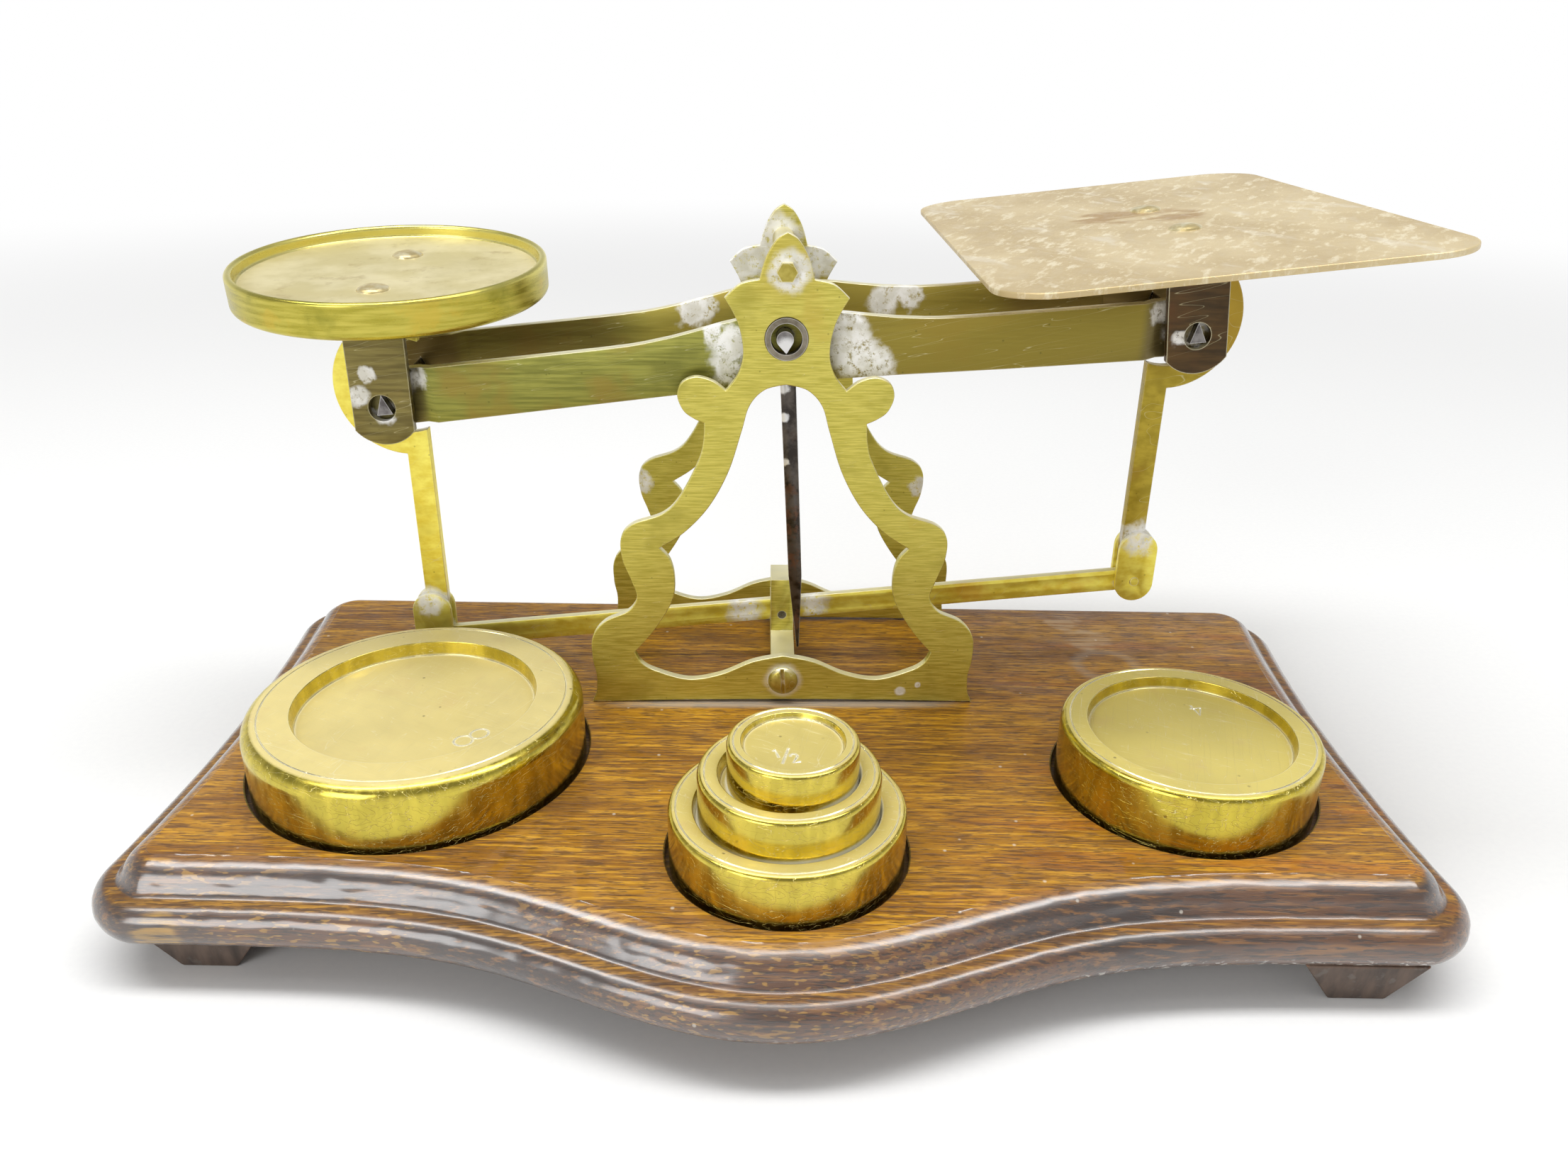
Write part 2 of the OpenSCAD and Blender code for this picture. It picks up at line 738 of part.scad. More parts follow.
// Side view of a beam bar: a low hump over the middle, slim arms and round ends
module bar_outline() {
    end_x = beam_arm + bar_past;
    top_edge = [[0, hump_up], [7.5, hump_up - 0.1], [14, hump_up - 1.2], [20.5, arm_up + 0.6],
        [30, arm_up], [beam_arm, arm_up - 0.5]];
    low_edge = [[0, -middle_down], [18, -middle_down - 0.4], [35, -middle_down - 1], [beam_arm, -end_down]];
    end_r = (arm_up + end_down) / 2 - 1;
    end_round = concat(
        arc([end_x - end_r, arm_up - 0.5 - end_r], end_r, 80, 0),
        arc([end_x - end_r, -end_down + end_r], end_r, 0, -80)
    );
    half = concat(
        [for (p = curve(top_edge)) if (p.x < end_x - end_r) p],
        end_round,
        reversed([for (p = curve(low_edge)) if (p.x < end_x - end_r) p])
    );
    polygon(both_halves(half));
}

// Plan of a beam bar: straight, with both ends set in toward the frame's middle
module bar_plan() {
    outer = [[set_in_start, bar_out], [set_in_end, bar_out - bar_set_in],
        [beam_arm + bar_past + 1, bar_out - bar_set_in]];
    outer_edge = concat(reversed(flipped(outer)), outer);
    polygon(concat(outer_edge, reversed([for (p = outer_edge) p - [0, bar_t]])));
}

// side is -1 for the front bar, 1 for the rear one
module beam_bar(side) {
    color(beam_brass)
        on_beam()
            difference() {
                intersection() {
                    scale([1, side, 1])
                        linear_extrude(40, center = true)
                            bar_plan();
                    slab(-frame_gap, frame_gap)
                        bar_outline();
                }
                slab(-frame_gap, frame_gap)
                    knife_section(press_gap);
                for (end = [-1, 1])
                    translate([end * beam_arm, 0, -end_drop])
                        slab(-frame_gap, frame_gap)
                            end_knife_section(press_gap);
                if (side < 0)
                    translate([0, 0, -pointer_rivet_down])
                        round_bar(pointer_rivet_r + press_gap, -frame_gap, 0);
            }
}

module front_beam_bar() {
    beam_bar(-1);
}

module rear_beam_bar() {
    beam_bar(1);
}

module centre_knife() {
    color(dark_steel)
        on_beam()
            slab(-frame_half + side_gap, frame_half - side_gap)
                knife_section(0);
}

module end_knife(side) {
    color(dark_steel)
        on_beam()
            translate([side * beam_arm, 0, -end_drop])
                slab(-ear_out + 0.2, ear_out - 0.2)
                    end_knife_section(0);
}

module left_knife() {
    end_knife(-1);
}

module right_knife() {
    end_knife(1);
}

// Pointer's own frame: origin at its rivet, set a little off square to the beam
module on_pointer() {
    on_beam()
        translate([0, -bar_in, -pointer_rivet_down])
            rotate([0, pointer_set, 0])
                children();
}

module pointer() {
    foot = pointer_len - pointer_rivet_down;
    color(dark_steel)
        on_pointer()
            difference() {
                slab(0, pointer_t)
                    polygon(concat(
                        arc([0, 0], pointer_w / 2, 0, 180),
                        [
                            [-pointer_low_w / 2, -foot + pointer_taper], [-0.2, -foot],
                            [0.2, -foot], [pointer_low_w / 2, -foot + pointer_taper]
                        ]
                    ));
                round_bar(pointer_rivet_r + press_gap, -1, pointer_t + 1);
            }
}

module pointer_rivet() {
    color(beam_brass)
        on_pointer()
            round_bar(pointer_rivet_r, -bar_t, pointer_t + 0.3);
}

// Bent strip of a bracket seen from the side, its top tipped to the front
module bracket_section(tip) {
    function top(y) = bracket_h + y * tan(tip);
    under = bracket_t / cos(tip);
    polygon(rounded([
        [-ear_out, -ear_end_r - 1, 0],
        [-ear_out, top(-ear_out), bend_r + bracket_t],
        [ear_out, top(ear_out), bend_r + bracket_t],
        [ear_out, -ear_end_r - 1, 0],
        [ear_in, -ear_end_r - 1, 0],
        [ear_in, top(ear_in) - under, bend_r],
        [-ear_in, top(-ear_in) - under, bend_r],
        [-ear_in, -ear_end_r - 1, 0]
    ]));
}

// Ear seen from the front: straight sides and an end rounded about the hole
module ear_outline() {
    intersection() {
        translate([-ear_w / 2, -ear_end_r - 1])
            square([ear_w, bracket_h + 3 * ear_end_r]);
        union() {
            circle(r = ear_end_r);
            translate([-ear_w, 0])
                square([2 * ear_w, bracket_h + 2 * ear_end_r]);
        }
    }
}

module bracket(lean, tip, rivet_x) {
    color(bracket_brass)
        difference() {
            in_bracket(lean)
                difference() {
                    intersection() {
                        rotate([90, 0, 90])
                            linear_extrude(2 * ear_w, center = true)
                                bracket_section(tip);
                        slab(-2 * ear_out, 2 * ear_out)
                            ear_outline();
                    }
                    round_bar(ear_hole_r, -2 * ear_out, 2 * ear_out);
                }
            on_bracket(lean, tip)
                for (side = [-1, 1])
                    translate([rivet_x, side * rivet_y, -2 * bracket_t])
                        cylinder(r = rivet_r + press_gap, h = 3 * bracket_t);
        }
}

// Leg: a strip that hooks round the outer side of the knife and hangs straight down
module leg(lean, tip) {
    inner_edge = -leg_inward - leg_w / 2;
    strip_foot = -leg_len + link_h / 2 + 3 * side_gap;
    color(beam_brass)
        difference() {
            slab(-leg_t / 2, leg_t / 2)
                difference() {
                    union() {
                        translate([0, -hole_down])
                            circle(r = hook_r);
                        translate([inner_edge, strip_foot])
                            square([leg_w, -hole_down - hook_bore_r - strip_foot]);
                        translate([inner_edge, 0])
                            square([ear_w / 2 - inner_edge, bracket_h]);
                    }
                    translate([0, -hole_down])
                        circle(r = hook_bore_r);
                    translate([inner_edge - 2 * hook_r, -hole_down - 2 * hook_r])
                        square([2 * hook_r, 5 * hook_r]);
                }
            on_bracket(lean, tip)
                translate([-2 * ear_w, -ear_w, -bracket_t])
                    cube([4 * ear_w, 2 * ear_w, 2 * ear_w]);
        }
}

// Oval leaves of the fork, one on each side of the leg's foot
module fork() {
    leaf_r = leaf_w / 2;
    color(beam_brass)
        translate([0, 0, -leg_len])
            for (side = [-1, 1])
                scale([1, side, 1])
                    difference() {
                        slab(leg_t / 2, leg_t / 2 + leaf_t)
                            union() {
                                translate([0, leaf_r - leaf_down])
                                    circle(r = leaf_r);
                                translate([0, leaf_up - leaf_r])
                                    circle(r = leaf_r);
                                translate([-leaf_r, leaf_r - leaf_down])
                                    square([leaf_w, leaf_up + leaf_down - leaf_w]);
                            }
                        round_bar(pin_r + press_gap, 0, 2 * leg_t);
                    }
}

module fork_pin() {
    color(frame_brass)
        translate([0, 0, -leg_len])
            round_bar(pin_r, -leg_t / 2 - leaf_t - pin_proud, leg_t / 2 + leaf_t + pin_proud);
}

// Two rivets through a sheet of thickness sheet_t and the bracket's top under it
module rivets(sheet_t, x) {
    color(frame_brass)
        for (side = [-1, 1])
            translate([x, side * rivet_y, sheet_t]) {
                rotate_extrude()
                    polygon(concat(
                        [[0, 0]],
                        [for (a = [0 : 18 : 90]) [rivet_head_r * cos(a), rivet_head_h * sin(a)]]
                    ));
                translate([0, 0, -sheet_t - bracket_t])
                    cylinder(r = rivet_r, h = sheet_t + bracket_t + tiny);
            }
}

module left_bracket() {
    at_hanger(-1)
        bracket(0, dish_lean, 0);
}

module left_leg() {
    at_hanger(-1)
        leg(0, dish_lean);
}

module left_fork() {
    at_hanger(-1)
        fork();
}

module left_fork_pin() {
    at_hanger(-1)
        fork_pin();
}

module left_rivets() {
    at_hanger(-1)
        on_bracket(0, dish_lean)
            rivets(dish_h - dish_depth, 0);
}

// Turned dish with a shallow floor, a rounded rim and a softened lower edge
module dish() {
    foot_round = 1;
    floor_round = 0.5;
    rim_round = dish_rim / 2;
    floor_z = dish_h - dish_depth;
    wall_r = dish_r - dish_rim;
    color(weight_brass)
        at_hanger(-1)
            on_bracket(0, dish_lean)
                difference() {
                    rotate_extrude($fn = 96)
                        polygon(concat(
                            [[0, 0]],
                            arc([dish_r - foot_round, foot_round], foot_round, -90, 0),
                            arc([dish_r - rim_round, dish_h - rim_round], rim_round, 0, 180),
                            arc([wall_r - floor_round, floor_z + floor_round], floor_round, 0, -90),
                            [[0, floor_z]]
                        ));
                    for (side = [-1, 1])
                        translate([0, side * rivet_y, -1])
                            cylinder(r = rivet_r + press_gap, h = dish_h + 2);
                }
}

module right_bracket() {
    at_hanger(1)
        bracket(letter_lean, 0, -letter_rivet_in);
}

module right_leg() {
    at_hanger(1)
        leg(letter_lean, 0);
}

module right_fork() {
    at_hanger(1)
        fork();
}

module right_fork_pin() {
    at_hanger(1)
        fork_pin();
}

module right_rivets() {
    at_hanger(1)
        on_bracket(letter_lean, 0)
            rivets(letter_t, -letter_rivet_in);
}

module letter_plate() {
    x = letter_w / 2;
    y = letter_d / 2;
    color(plate_brass)
        at_hanger(1)
            on_bracket(letter_lean, 0)
                difference() {
                    translate([-letter_inward, 0, 0])
                        linear_extrude(letter_t)
                            polygon(rounded([
                                [-x, -y, letter_corner_r], [x, -y, letter_corner_r],
                                [x, y, letter_corner_r], [-x, y, letter_corner_r]
                            ]));
                    for (side = [-1, 1])
                        translate([-letter_rivet_in, side * rivet_y, -1])
                            cylinder(r = rivet_r + press_gap, h = letter_t + 2);
                }
}

module lower_link() {
    color(beam_brass)
        at_frame()
            translate([0, 0, post_pin_h])
                rotate([0, -rest_tilt, 0])
                    difference() {
                        slab(-link_t / 2, link_t / 2)
                            union() {
                                translate([-beam_arm, -link_h / 2])
                                    square([2 * beam_arm, link_h]);
                                for (side = [-1, 1])
                                    translate([side * beam_arm, 0])
                                        circle(d = link_h);
                            }
                        round_bar(pin_r + run_gap, -link_t, link_t);
                        for (side = [-1, 1])
                            translate([side * beam_arm, 0, 0])
                                round_bar(pin_r + fork_gap, -link_t, link_t);
                    }
}

// Turned weight with a rounded shoulder, a softened foot and a recess in its top
module weight(i) {
    r = weight_r[i];
    h = weight_h[i];
    shoulder_r = weight_shoulder_r[i];
    recess_r = weight_recess_r[i];
    floor_z = h - weight_recess_d[i];
    foot_r = 0.5;
    bevel = 0.3;
    color(weight_brass)
        rotate_extrude($fn = 96)
            polygon(concat(
                [[0, 0]],
                arc([r - foot_r, foot_r], foot_r, -90, 0),
                arc([r - shoulder_r, h - shoulder_r], shoulder_r, 0, 90),
                [[recess_r + bevel, h], [recess_r, h - bevel], [recess_r, floor_z], [0, floor_z]]
            ));
}

module weight_8oz() {
    translate([oz8_place.x, oz8_place.y, recess_floor])
        weight(0);
}

module weight_4oz() {
    translate([oz4_place.x, oz4_place.y, recess_floor])
        weight(1);
}

module weight_2oz() {
    translate([oz2_place.x, oz2_place.y, recess_floor])
        weight(2);
}

module weight_1oz() {
    translate([oz2_place.x + nest_shift[0], oz2_place.y, oz1_floor])
        weight(3);
}

module weight_half_oz() {
    translate([oz2_place.x + nest_shift[0] + nest_shift[1], oz2_place.y, half_oz_floor])
        weight(4);
}

base_board();
feet();
front_frame_plate();
rear_frame_plate();
bearing_rings();
top_stretcher();
cross_bar();
post_pin();
frame_screws();
base_screw();
front_beam_bar();
rear_beam_bar();
centre_knife();
left_knife();
right_knife();
pointer();
pointer_rivet();
left_bracket();
left_leg();
left_fork();
left_fork_pin();
dish();
left_rivets();
right_bracket();
right_leg();
right_fork();
right_fork_pin();
letter_plate();
right_rivets();
lower_link();
weight_8oz();
weight_4oz();
weight_2oz();
weight_1oz();
weight_half_oz();
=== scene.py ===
# %% [markdown]
# A letter balance on a moulded board, with its five brass weights.
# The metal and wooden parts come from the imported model, which is the fixed frame for
# everything here. A part whose shape is right keeps its mesh and gets a finish. A part
# that the camera comes close to, such as the board, is built again with finer curves.

from math import atan2, cos, degrees, exp, pi, radians, sin, tan

import bmesh
import bpy
from mathutils import Matrix, Vector, noise


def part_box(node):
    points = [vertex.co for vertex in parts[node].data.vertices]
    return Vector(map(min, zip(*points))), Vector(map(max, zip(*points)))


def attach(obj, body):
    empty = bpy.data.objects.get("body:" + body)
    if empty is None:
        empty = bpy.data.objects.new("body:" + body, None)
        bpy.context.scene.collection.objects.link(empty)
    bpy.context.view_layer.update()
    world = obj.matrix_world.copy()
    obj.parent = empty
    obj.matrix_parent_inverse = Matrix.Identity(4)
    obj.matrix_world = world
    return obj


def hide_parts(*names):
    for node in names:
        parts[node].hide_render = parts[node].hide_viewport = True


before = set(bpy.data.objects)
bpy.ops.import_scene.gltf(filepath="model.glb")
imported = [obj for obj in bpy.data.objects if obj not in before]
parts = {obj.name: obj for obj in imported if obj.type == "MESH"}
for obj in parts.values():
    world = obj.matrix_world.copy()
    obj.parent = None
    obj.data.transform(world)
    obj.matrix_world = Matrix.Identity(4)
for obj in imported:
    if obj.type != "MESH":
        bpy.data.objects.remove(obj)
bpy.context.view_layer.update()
MM = 0.001

# %% [markdown]
# The camera stands close in front of the scale and a little above the letter plate, with
# a wide lens, which is why the front of the board looks so large. Its place, its lens and
# its three angles were worked out from edges of known size in the photograph. A rotation
# matrix built from three directions says more plainly than Euler angles where it looks.

# %% Place the camera
PICTURE_W = 2212
FOCAL_PX = 1666.8
eye = Vector((-3.9, -179.9, 126.0)) * MM
turned, pitched, rolled = radians(1.23), radians(25.01), radians(-0.66)
ahead = Vector((sin(turned) * cos(pitched), cos(turned) * cos(pitched), -sin(pitched)))
level = Vector((cos(turned), -sin(turned), 0))
below = ahead.cross(level)
right = cos(rolled) * level + sin(rolled) * below
up = sin(rolled) * level - cos(rolled) * below
lens = bpy.data.cameras.new("camera")
lens.sensor_width = 36
lens.lens = lens.sensor_width * FOCAL_PX / PICTURE_W
lens.clip_start, lens.clip_end = 0.01, 20
camera = bpy.data.objects.new("camera", lens)
camera.matrix_world = Matrix.Translation(eye) @ Matrix((right, up, -ahead)).transposed().to_4x4()
scene = bpy.context.scene
scene.collection.objects.link(camera)
scene.camera = camera
scene.view_settings.view_transform = "Standard"
print("lens", round(lens.lens, 2), "mm")

# %% [markdown]
# Every finish below is a small network of shader nodes. Adding and joining nodes by hand
# takes many lines, so one class does it: each method adds one kind of node and gives back
# its output. All patterns read Object coordinates, which are metres on the real thing, so
# a scale of 1000 means one wave each millimetre, and a pattern rides along as parts move.

# %% Tools for finishes
class Finish:
    """One material, whose nodes are added in the order in which a finish comes about."""

    def __init__(self, name):
        self.material = bpy.data.materials.new(name)
        self.material.use_nodes = True
        self.tree = self.material.node_tree
        self.tree.nodes.clear()
        self.place = self.add("ShaderNodeTexCoord").outputs["Object"]
        self.facing = self.add("ShaderNodeNewGeometry").outputs["Normal"]
        self.colour = None

    def add(self, kind, inputs=None, **settings):
        node = self.tree.nodes.new(kind)
        for key, value in settings.items():
            setattr(node, key, value)
        for key, value in (inputs or {}).items():
            self.put(node.inputs[key], value)
        return node

    def put(self, socket, value):
        if isinstance(value, bpy.types.NodeSocket):
            self.tree.links.new(value, socket)
        elif socket.type == "RGBA" and len(value) == 3:
            socket.default_value = (*value, 1)
        else:
            socket.default_value = value

    def calc(self, operation, a, b=0.0, clamp=False):
        node = self.add("ShaderNodeMath", {0: a, 1: b}, operation=operation, use_clamp=clamp)
        return node.outputs[0]

    def part_of(self, vector, axis):
        return self.add("ShaderNodeSeparateXYZ", {0: vector}).outputs[axis]

    def where(self, axis, low, high):
        """0 below low and 1 above high, in mm along an axis."""
        return self.step(self.part_of(self.place, axis), low * MM, high * MM)

    def upward(self, low, high):
        """0 where the surface leans more than low, 1 where it faces up."""
        return self.step(self.part_of(self.facing, "Z"), low, high)

    def step(self, value, low, high, out_low=0.0, out_high=1.0):
        """Soft step: out_low below low, out_high above high."""
        inputs = {"Value": value, "From Min": low, "From Max": high, "To Min": out_low, "To Max": out_high}
        return self.add("ShaderNodeMapRange", inputs, interpolation_type="SMOOTHSTEP").outputs[0]

    def mix(self, share, a, b):
        """Colour a where share is 0, and colour b where it is 1."""
        node = self.add("ShaderNodeMix", {0: share}, data_type="RGBA")
        self.put(node.inputs[6], a)
        self.put(node.inputs[7], b)
        return node.outputs[2]

    def layer(self, share, colour, strength=1.0):
        """Lays a colour over the finish where share is 1."""
        if strength != 1.0:
            share = self.calc("MULTIPLY", share, strength)
        self.colour = self.mix(share, self.colour, colour)

    def stretched(self, stretch, spin=0.0, axis=(0, 0, 1)):
        place = self.place
        if spin:
            node = self.add("ShaderNodeVectorRotate", {"Vector": place, "Axis": axis, "Angle": spin})
            place = node.outputs[0]
        return self.add("ShaderNodeVectorMath", {0: place, 1: stretch}, operation="MULTIPLY").outputs[0]

    def cloud(self, stretch, detail=3.0, rough=0.5, spin=0.0, axis=(0, 0, 1)):
        """Noise between 0 and 1, with stretch waves a metre along each axis."""
        if not isinstance(stretch, tuple):
            stretch = (stretch, stretch, stretch)
        inputs = {"Vector": self.stretched(stretch, spin, axis), "Scale": 1.0, "Detail": detail, "Roughness": rough}
        return self.add("ShaderNodeTexNoise", inputs).outputs[0]

    def spots(self, scale, size):
        """Small round spots, 1 in the middle, scattered scale a metre."""
        vector = self.stretched((scale, scale, scale))
        distance = self.add("ShaderNodeTexVoronoi", {"Vector": vector, "Scale": 1.0}).outputs["Distance"]
        return self.step(distance, size, size * 0.4)

    def scratches(self, stretch, width, spin=0.0, axis=(0, 0, 1)):
        """Thin lines where stretched noise crosses its middle value."""
        away = self.calc("ABSOLUTE", self.calc("SUBTRACT", self.cloud(stretch, 1.0, 0.4, spin, axis), 0.5))
        return self.step(away, width, 0.0)

    def near(self, point, radius, ragged=0.0, scale=700):
        """1 round a point in mm, falling to 0 at the radius, with a ragged edge."""
        middle = tuple(c * MM for c in point)
        distance = self.add("ShaderNodeVectorMath", {0: self.place, 1: middle}, operation="DISTANCE").outputs["Value"]
        if ragged:
            wobble = self.calc("MULTIPLY", self.calc("SUBTRACT", self.cloud(scale), 0.5), 2 * ragged * MM)
            distance = self.calc("ADD", distance, wobble)
        return self.step(distance, radius * MM, radius * 0.55 * MM)

    def edges(self, radius, low=0.006, high=0.12):
        """1 along sharp edges, where a rounded normal leaves the real one."""
        rounded = self.add("ShaderNodeBevel", {"Radius": radius * MM}, samples=6).outputs[0]
        same = self.add("ShaderNodeVectorMath", {0: rounded, 1: self.facing}, operation="DOT_PRODUCT")
        return self.step(self.calc("SUBTRACT", 1.0, same.outputs["Value"]), low, high)

    def corners(self, reach, low=0.25, high=0.75):
        """1 deep in inner corners and beside things that touch."""
        node = self.add("ShaderNodeAmbientOcclusion", {"Distance": reach * MM}, samples=6)
        return self.step(node.outputs["AO"], high, low)

    def most(self, *masks):
        total = masks[0]
        for mask in masks[1:]:
            total = self.calc("MAXIMUM", total, mask)
        return total

    def both(self, *masks):
        total = masks[0]
        for mask in masks[1:]:
            total = self.calc("MULTIPLY", total, mask)
        return total

    def surface(self, roughness, metallic=0.0, height=None, depth=0.05, coat=0.0, coat_roughness=0.1, coat_ior=1.5):
        """The shader at the end. Height is raised by depth mm where it is 1."""
        inputs = {"Base Color": self.colour, "Roughness": roughness, "Metallic": metallic,
                  "Coat Weight": coat, "Coat Roughness": coat_roughness, "Coat IOR": coat_ior}
        if height is not None:
            bump = self.add("ShaderNodeBump", {"Height": height, "Distance": depth * MM, "Strength": 1.0})
            inputs["Normal"] = bump.outputs[0]
        shader = self.add("ShaderNodeBsdfPrincipled", inputs)
        out = self.add("ShaderNodeOutputMaterial", {"Surface": shader.outputs[0]})
        out.is_active_output = True
        return self.material

# %% [markdown]
# The studio is a pale floor that melts into a white backdrop a good way off, so that no
# horizon shows. The floor is a plain disc with a diffuse finish, which keeps the shadow.
# Light Path tells camera and mirror rays from the rays that carry light: only the first
# see pure white, so polished brass shows the backdrop and the wood isn't bleached by it.

# %% Lay the floor and hang the backdrop
def seen_rays(finish):
    path = finish.add("ShaderNodeLightPath").outputs
    return finish.most(path["Is Camera Ray"], path["Is Glossy Ray"], path["Is Transmission Ray"])


floor_mesh = bpy.data.meshes.new("floor")
floor_shape = bmesh.new()
bmesh.ops.create_circle(floor_shape, cap_ends=True, segments=96, radius=6)
floor_shape.to_mesh(floor_mesh)
floor_shape.free()
floor = bpy.data.objects.new("floor", floor_mesh)
scene.collection.objects.link(floor)

paper = Finish("studio_paper")
from_middle = paper.add("ShaderNodeVectorMath", {0: paper.place}, operation="LENGTH").outputs["Value"]
melting = paper.calc("MULTIPLY", paper.step(from_middle, 0.25, 0.9), seen_rays(paper))
fibres = paper.cloud(900, 2.0)
paper_colour = paper.mix(fibres, (0.80, 0.80, 0.80), (0.84, 0.84, 0.83))
matt = paper.add("ShaderNodeBsdfDiffuse", {"Color": paper_colour})
glow = paper.add("ShaderNodeEmission", {"Color": (1, 1, 1), "Strength": 1.0})
blend = paper.add("ShaderNodeMixShader", {0: melting})
paper.put(blend.inputs[1], matt.outputs[0])
paper.put(blend.inputs[2], glow.outputs[0])
paper.add("ShaderNodeOutputMaterial", {"Surface": blend.outputs[0]})
floor_mesh.materials.append(paper.material)

world = bpy.data.worlds.new("studio")
scene.world = world
world.use_nodes = True
sky = world.node_tree
sky.nodes.clear()
rays = sky.nodes.new("ShaderNodeLightPath").outputs
direction = sky.nodes.new("ShaderNodeTexCoord").outputs["Generated"]
height_above = sky.nodes.new("ShaderNodeSeparateXYZ")
sky.links.new(direction, height_above.inputs[0])
ceiling = sky.nodes.new("ShaderNodeMapRange")
ceiling.interpolation_type = "SMOOTHSTEP"
sky.links.new(height_above.outputs["Z"], ceiling.inputs["Value"])
for key, value in {"From Min": 0.05, "From Max": 0.6, "To Min": 1.0, "To Max": 0.34}.items():
    ceiling.inputs[key].default_value = value
seen = sky.nodes.new("ShaderNodeMath")
seen.operation = "MAXIMUM"
sky.links.new(rays["Is Glossy Ray"], seen.inputs[0])
sky.links.new(rays["Is Transmission Ray"], seen.inputs[1])
strengths = []
for share, low, high in ((seen.outputs[0], 0.36, ceiling.outputs[0]), (rays["Is Camera Ray"], None, 1.0)):
    pick = sky.nodes.new("ShaderNodeMix")
    sky.links.new(share, pick.inputs[0])
    for socket, value in ((pick.inputs[2], strengths[-1] if low is None else low), (pick.inputs[3], high)):
        if isinstance(value, float):
            socket.default_value = value
        else:
            sky.links.new(value, socket)
    strengths.append(pick.outputs[0])
background = sky.nodes.new("ShaderNodeBackground")
background.inputs["Color"].default_value = (1, 1, 1, 1)
sky.links.new(strengths[-1], background.inputs["Strength"])
sky_out = sky.nodes.new("ShaderNodeOutputWorld")
sky.links.new(background.outputs[0], sky_out.inputs["Surface"])
print("floor and backdrop ready")

# %% [markdown]
# Three lamps light the scale. A broad soft one hangs overhead with a narrow bright one just
# under it: edges that lean forward a little mirror both, which draws the silvery bands
# with white cores along the moulding and round the weights. A fainter lamp fills the front.

# %% Hang the lamps
def soft_lamp(name, place, width, depth, watts):
    lamp = bpy.data.lights.new(name, "AREA")
    lamp.shape = "RECTANGLE"
    lamp.size, lamp.size_y, lamp.energy = width, depth, watts
    holder = bpy.data.objects.new(name, lamp)
    holder.location = place
    toward = Vector((0, 0, 0.04)) - holder.location
    holder.rotation_euler = toward.to_track_quat("-Z", "Y").to_euler()
    scene.collection.objects.link(holder)
    print(name, watts, "W")


soft_lamp("overhead", Vector((0, -0.12, 1.10)), 1.5, 0.75, 3.0)
soft_lamp("bright_strip", Vector((0, -0.06, 1.0)), 1.5, 0.22, 9.0)
soft_lamp("front_fill", Vector((-0.7, -1.0, 0.6)), 0.6, 0.6, 5.0)

# %% [markdown]
# Brass that was polished for a century keeps white dried polish wherever a cloth couldn't
# reach: round rivets and screws, beside the frame, in stamped figures. It is chalky, thin
# and broken. Points chosen on the model say where it lies, noise gives each patch a ragged
# edge and breaks it up, and an Ambient Occlusion node finds the inner corners.

# %% Dried polish
def dried_polish(finish, places, corner_reach=1.3):
    """1 where polish has dried: round points in mm with their radius and raggedness, and in corners."""
    broken = finish.step(finish.cloud(1000, 5.0, 0.75), 0.31, 0.50)
    patches = [finish.near(point, radius, ragged, 420) for point, radius, ragged in places]
    corner = finish.both(finish.corners(corner_reach, 0.25, 0.65), finish.step(finish.cloud(420, 3.0), 0.48, 0.62))
    return finish.both(finish.most(corner, *patches), broken)


def chalk(finish):
    return finish.mix(finish.step(finish.cloud(420, 4.0), 0.36, 0.58), (0.78, 0.77, 0.72), (0.96, 0.96, 0.96))

# %% [markdown]
# The frame plates are rolled sheet, brushed left to right while new. The brushing is noise
# that is stretched twenty times along X. It changes the colour only a little. A Bevel node
# finds the edges, and one cream layer lightens them together with every face that looks up:
# partly the wear a duster leaves on edges, partly a painted highlight of the lamps overhead.

# %% Brushed brass
def darker(colour, share):
    return tuple(c * share for c in colour)


def brushed_brass(name, dark, light, warm, places, brushing=(240, 240, 4800), warm_from=0.58, metal=0.62,
                  rough=(0.33, 0.48), extra=()):
    """Brass with brushing, warm patches and dried polish. Extra layers are (mask maker, colour, strength)."""
    brass = Finish(name)
    lines = brass.cloud(brushing, 3.0, 0.6)
    broad = brass.cloud(100, 3.0, 0.55)
    brass.colour = brass.mix(brass.step(lines, 0.30, 0.70), dark, light)
    brass.layer(brass.step(broad, warm_from, warm_from + 0.16), warm, 0.6)
    brass.layer(brass.step(broad, 0.44, 0.30), darker(dark, 0.8), 0.5)
    for mask, colour, strength in extra:
        brass.layer(mask(brass), colour, strength)
    brass.layer(brass.scratches(tuple(c * 0.4 for c in brushing), 0.004, 0.2, (0, 1, 0)), (0.80, 0.74, 0.45), 0.35)
    brass.layer(brass.spots(420, 0.09), darker(dark, 0.4), 0.5)
    # Painted highlight: edges and faces that look up turn cream, partly as rubbed edges
    brass.layer(brass.most(brass.edges(0.28), brass.upward(0.4, 0.8)), (0.96, 0.91, 0.64), 0.8)
    polish = dried_polish(brass, places)
    brass.layer(polish, chalk(brass), 0.9)
    rough_here = brass.calc("MAXIMUM", brass.step(lines, 0.3, 0.7, *rough), brass.calc("MULTIPLY", polish, 0.62))
    metal_here = brass.step(polish, 0.0, 1.0, metal, 0.3)
    height = brass.calc("ADD", brass.calc("MULTIPLY", lines, 0.4), polish)
    return brass.surface(rough_here, metal_here, height, 0.03)


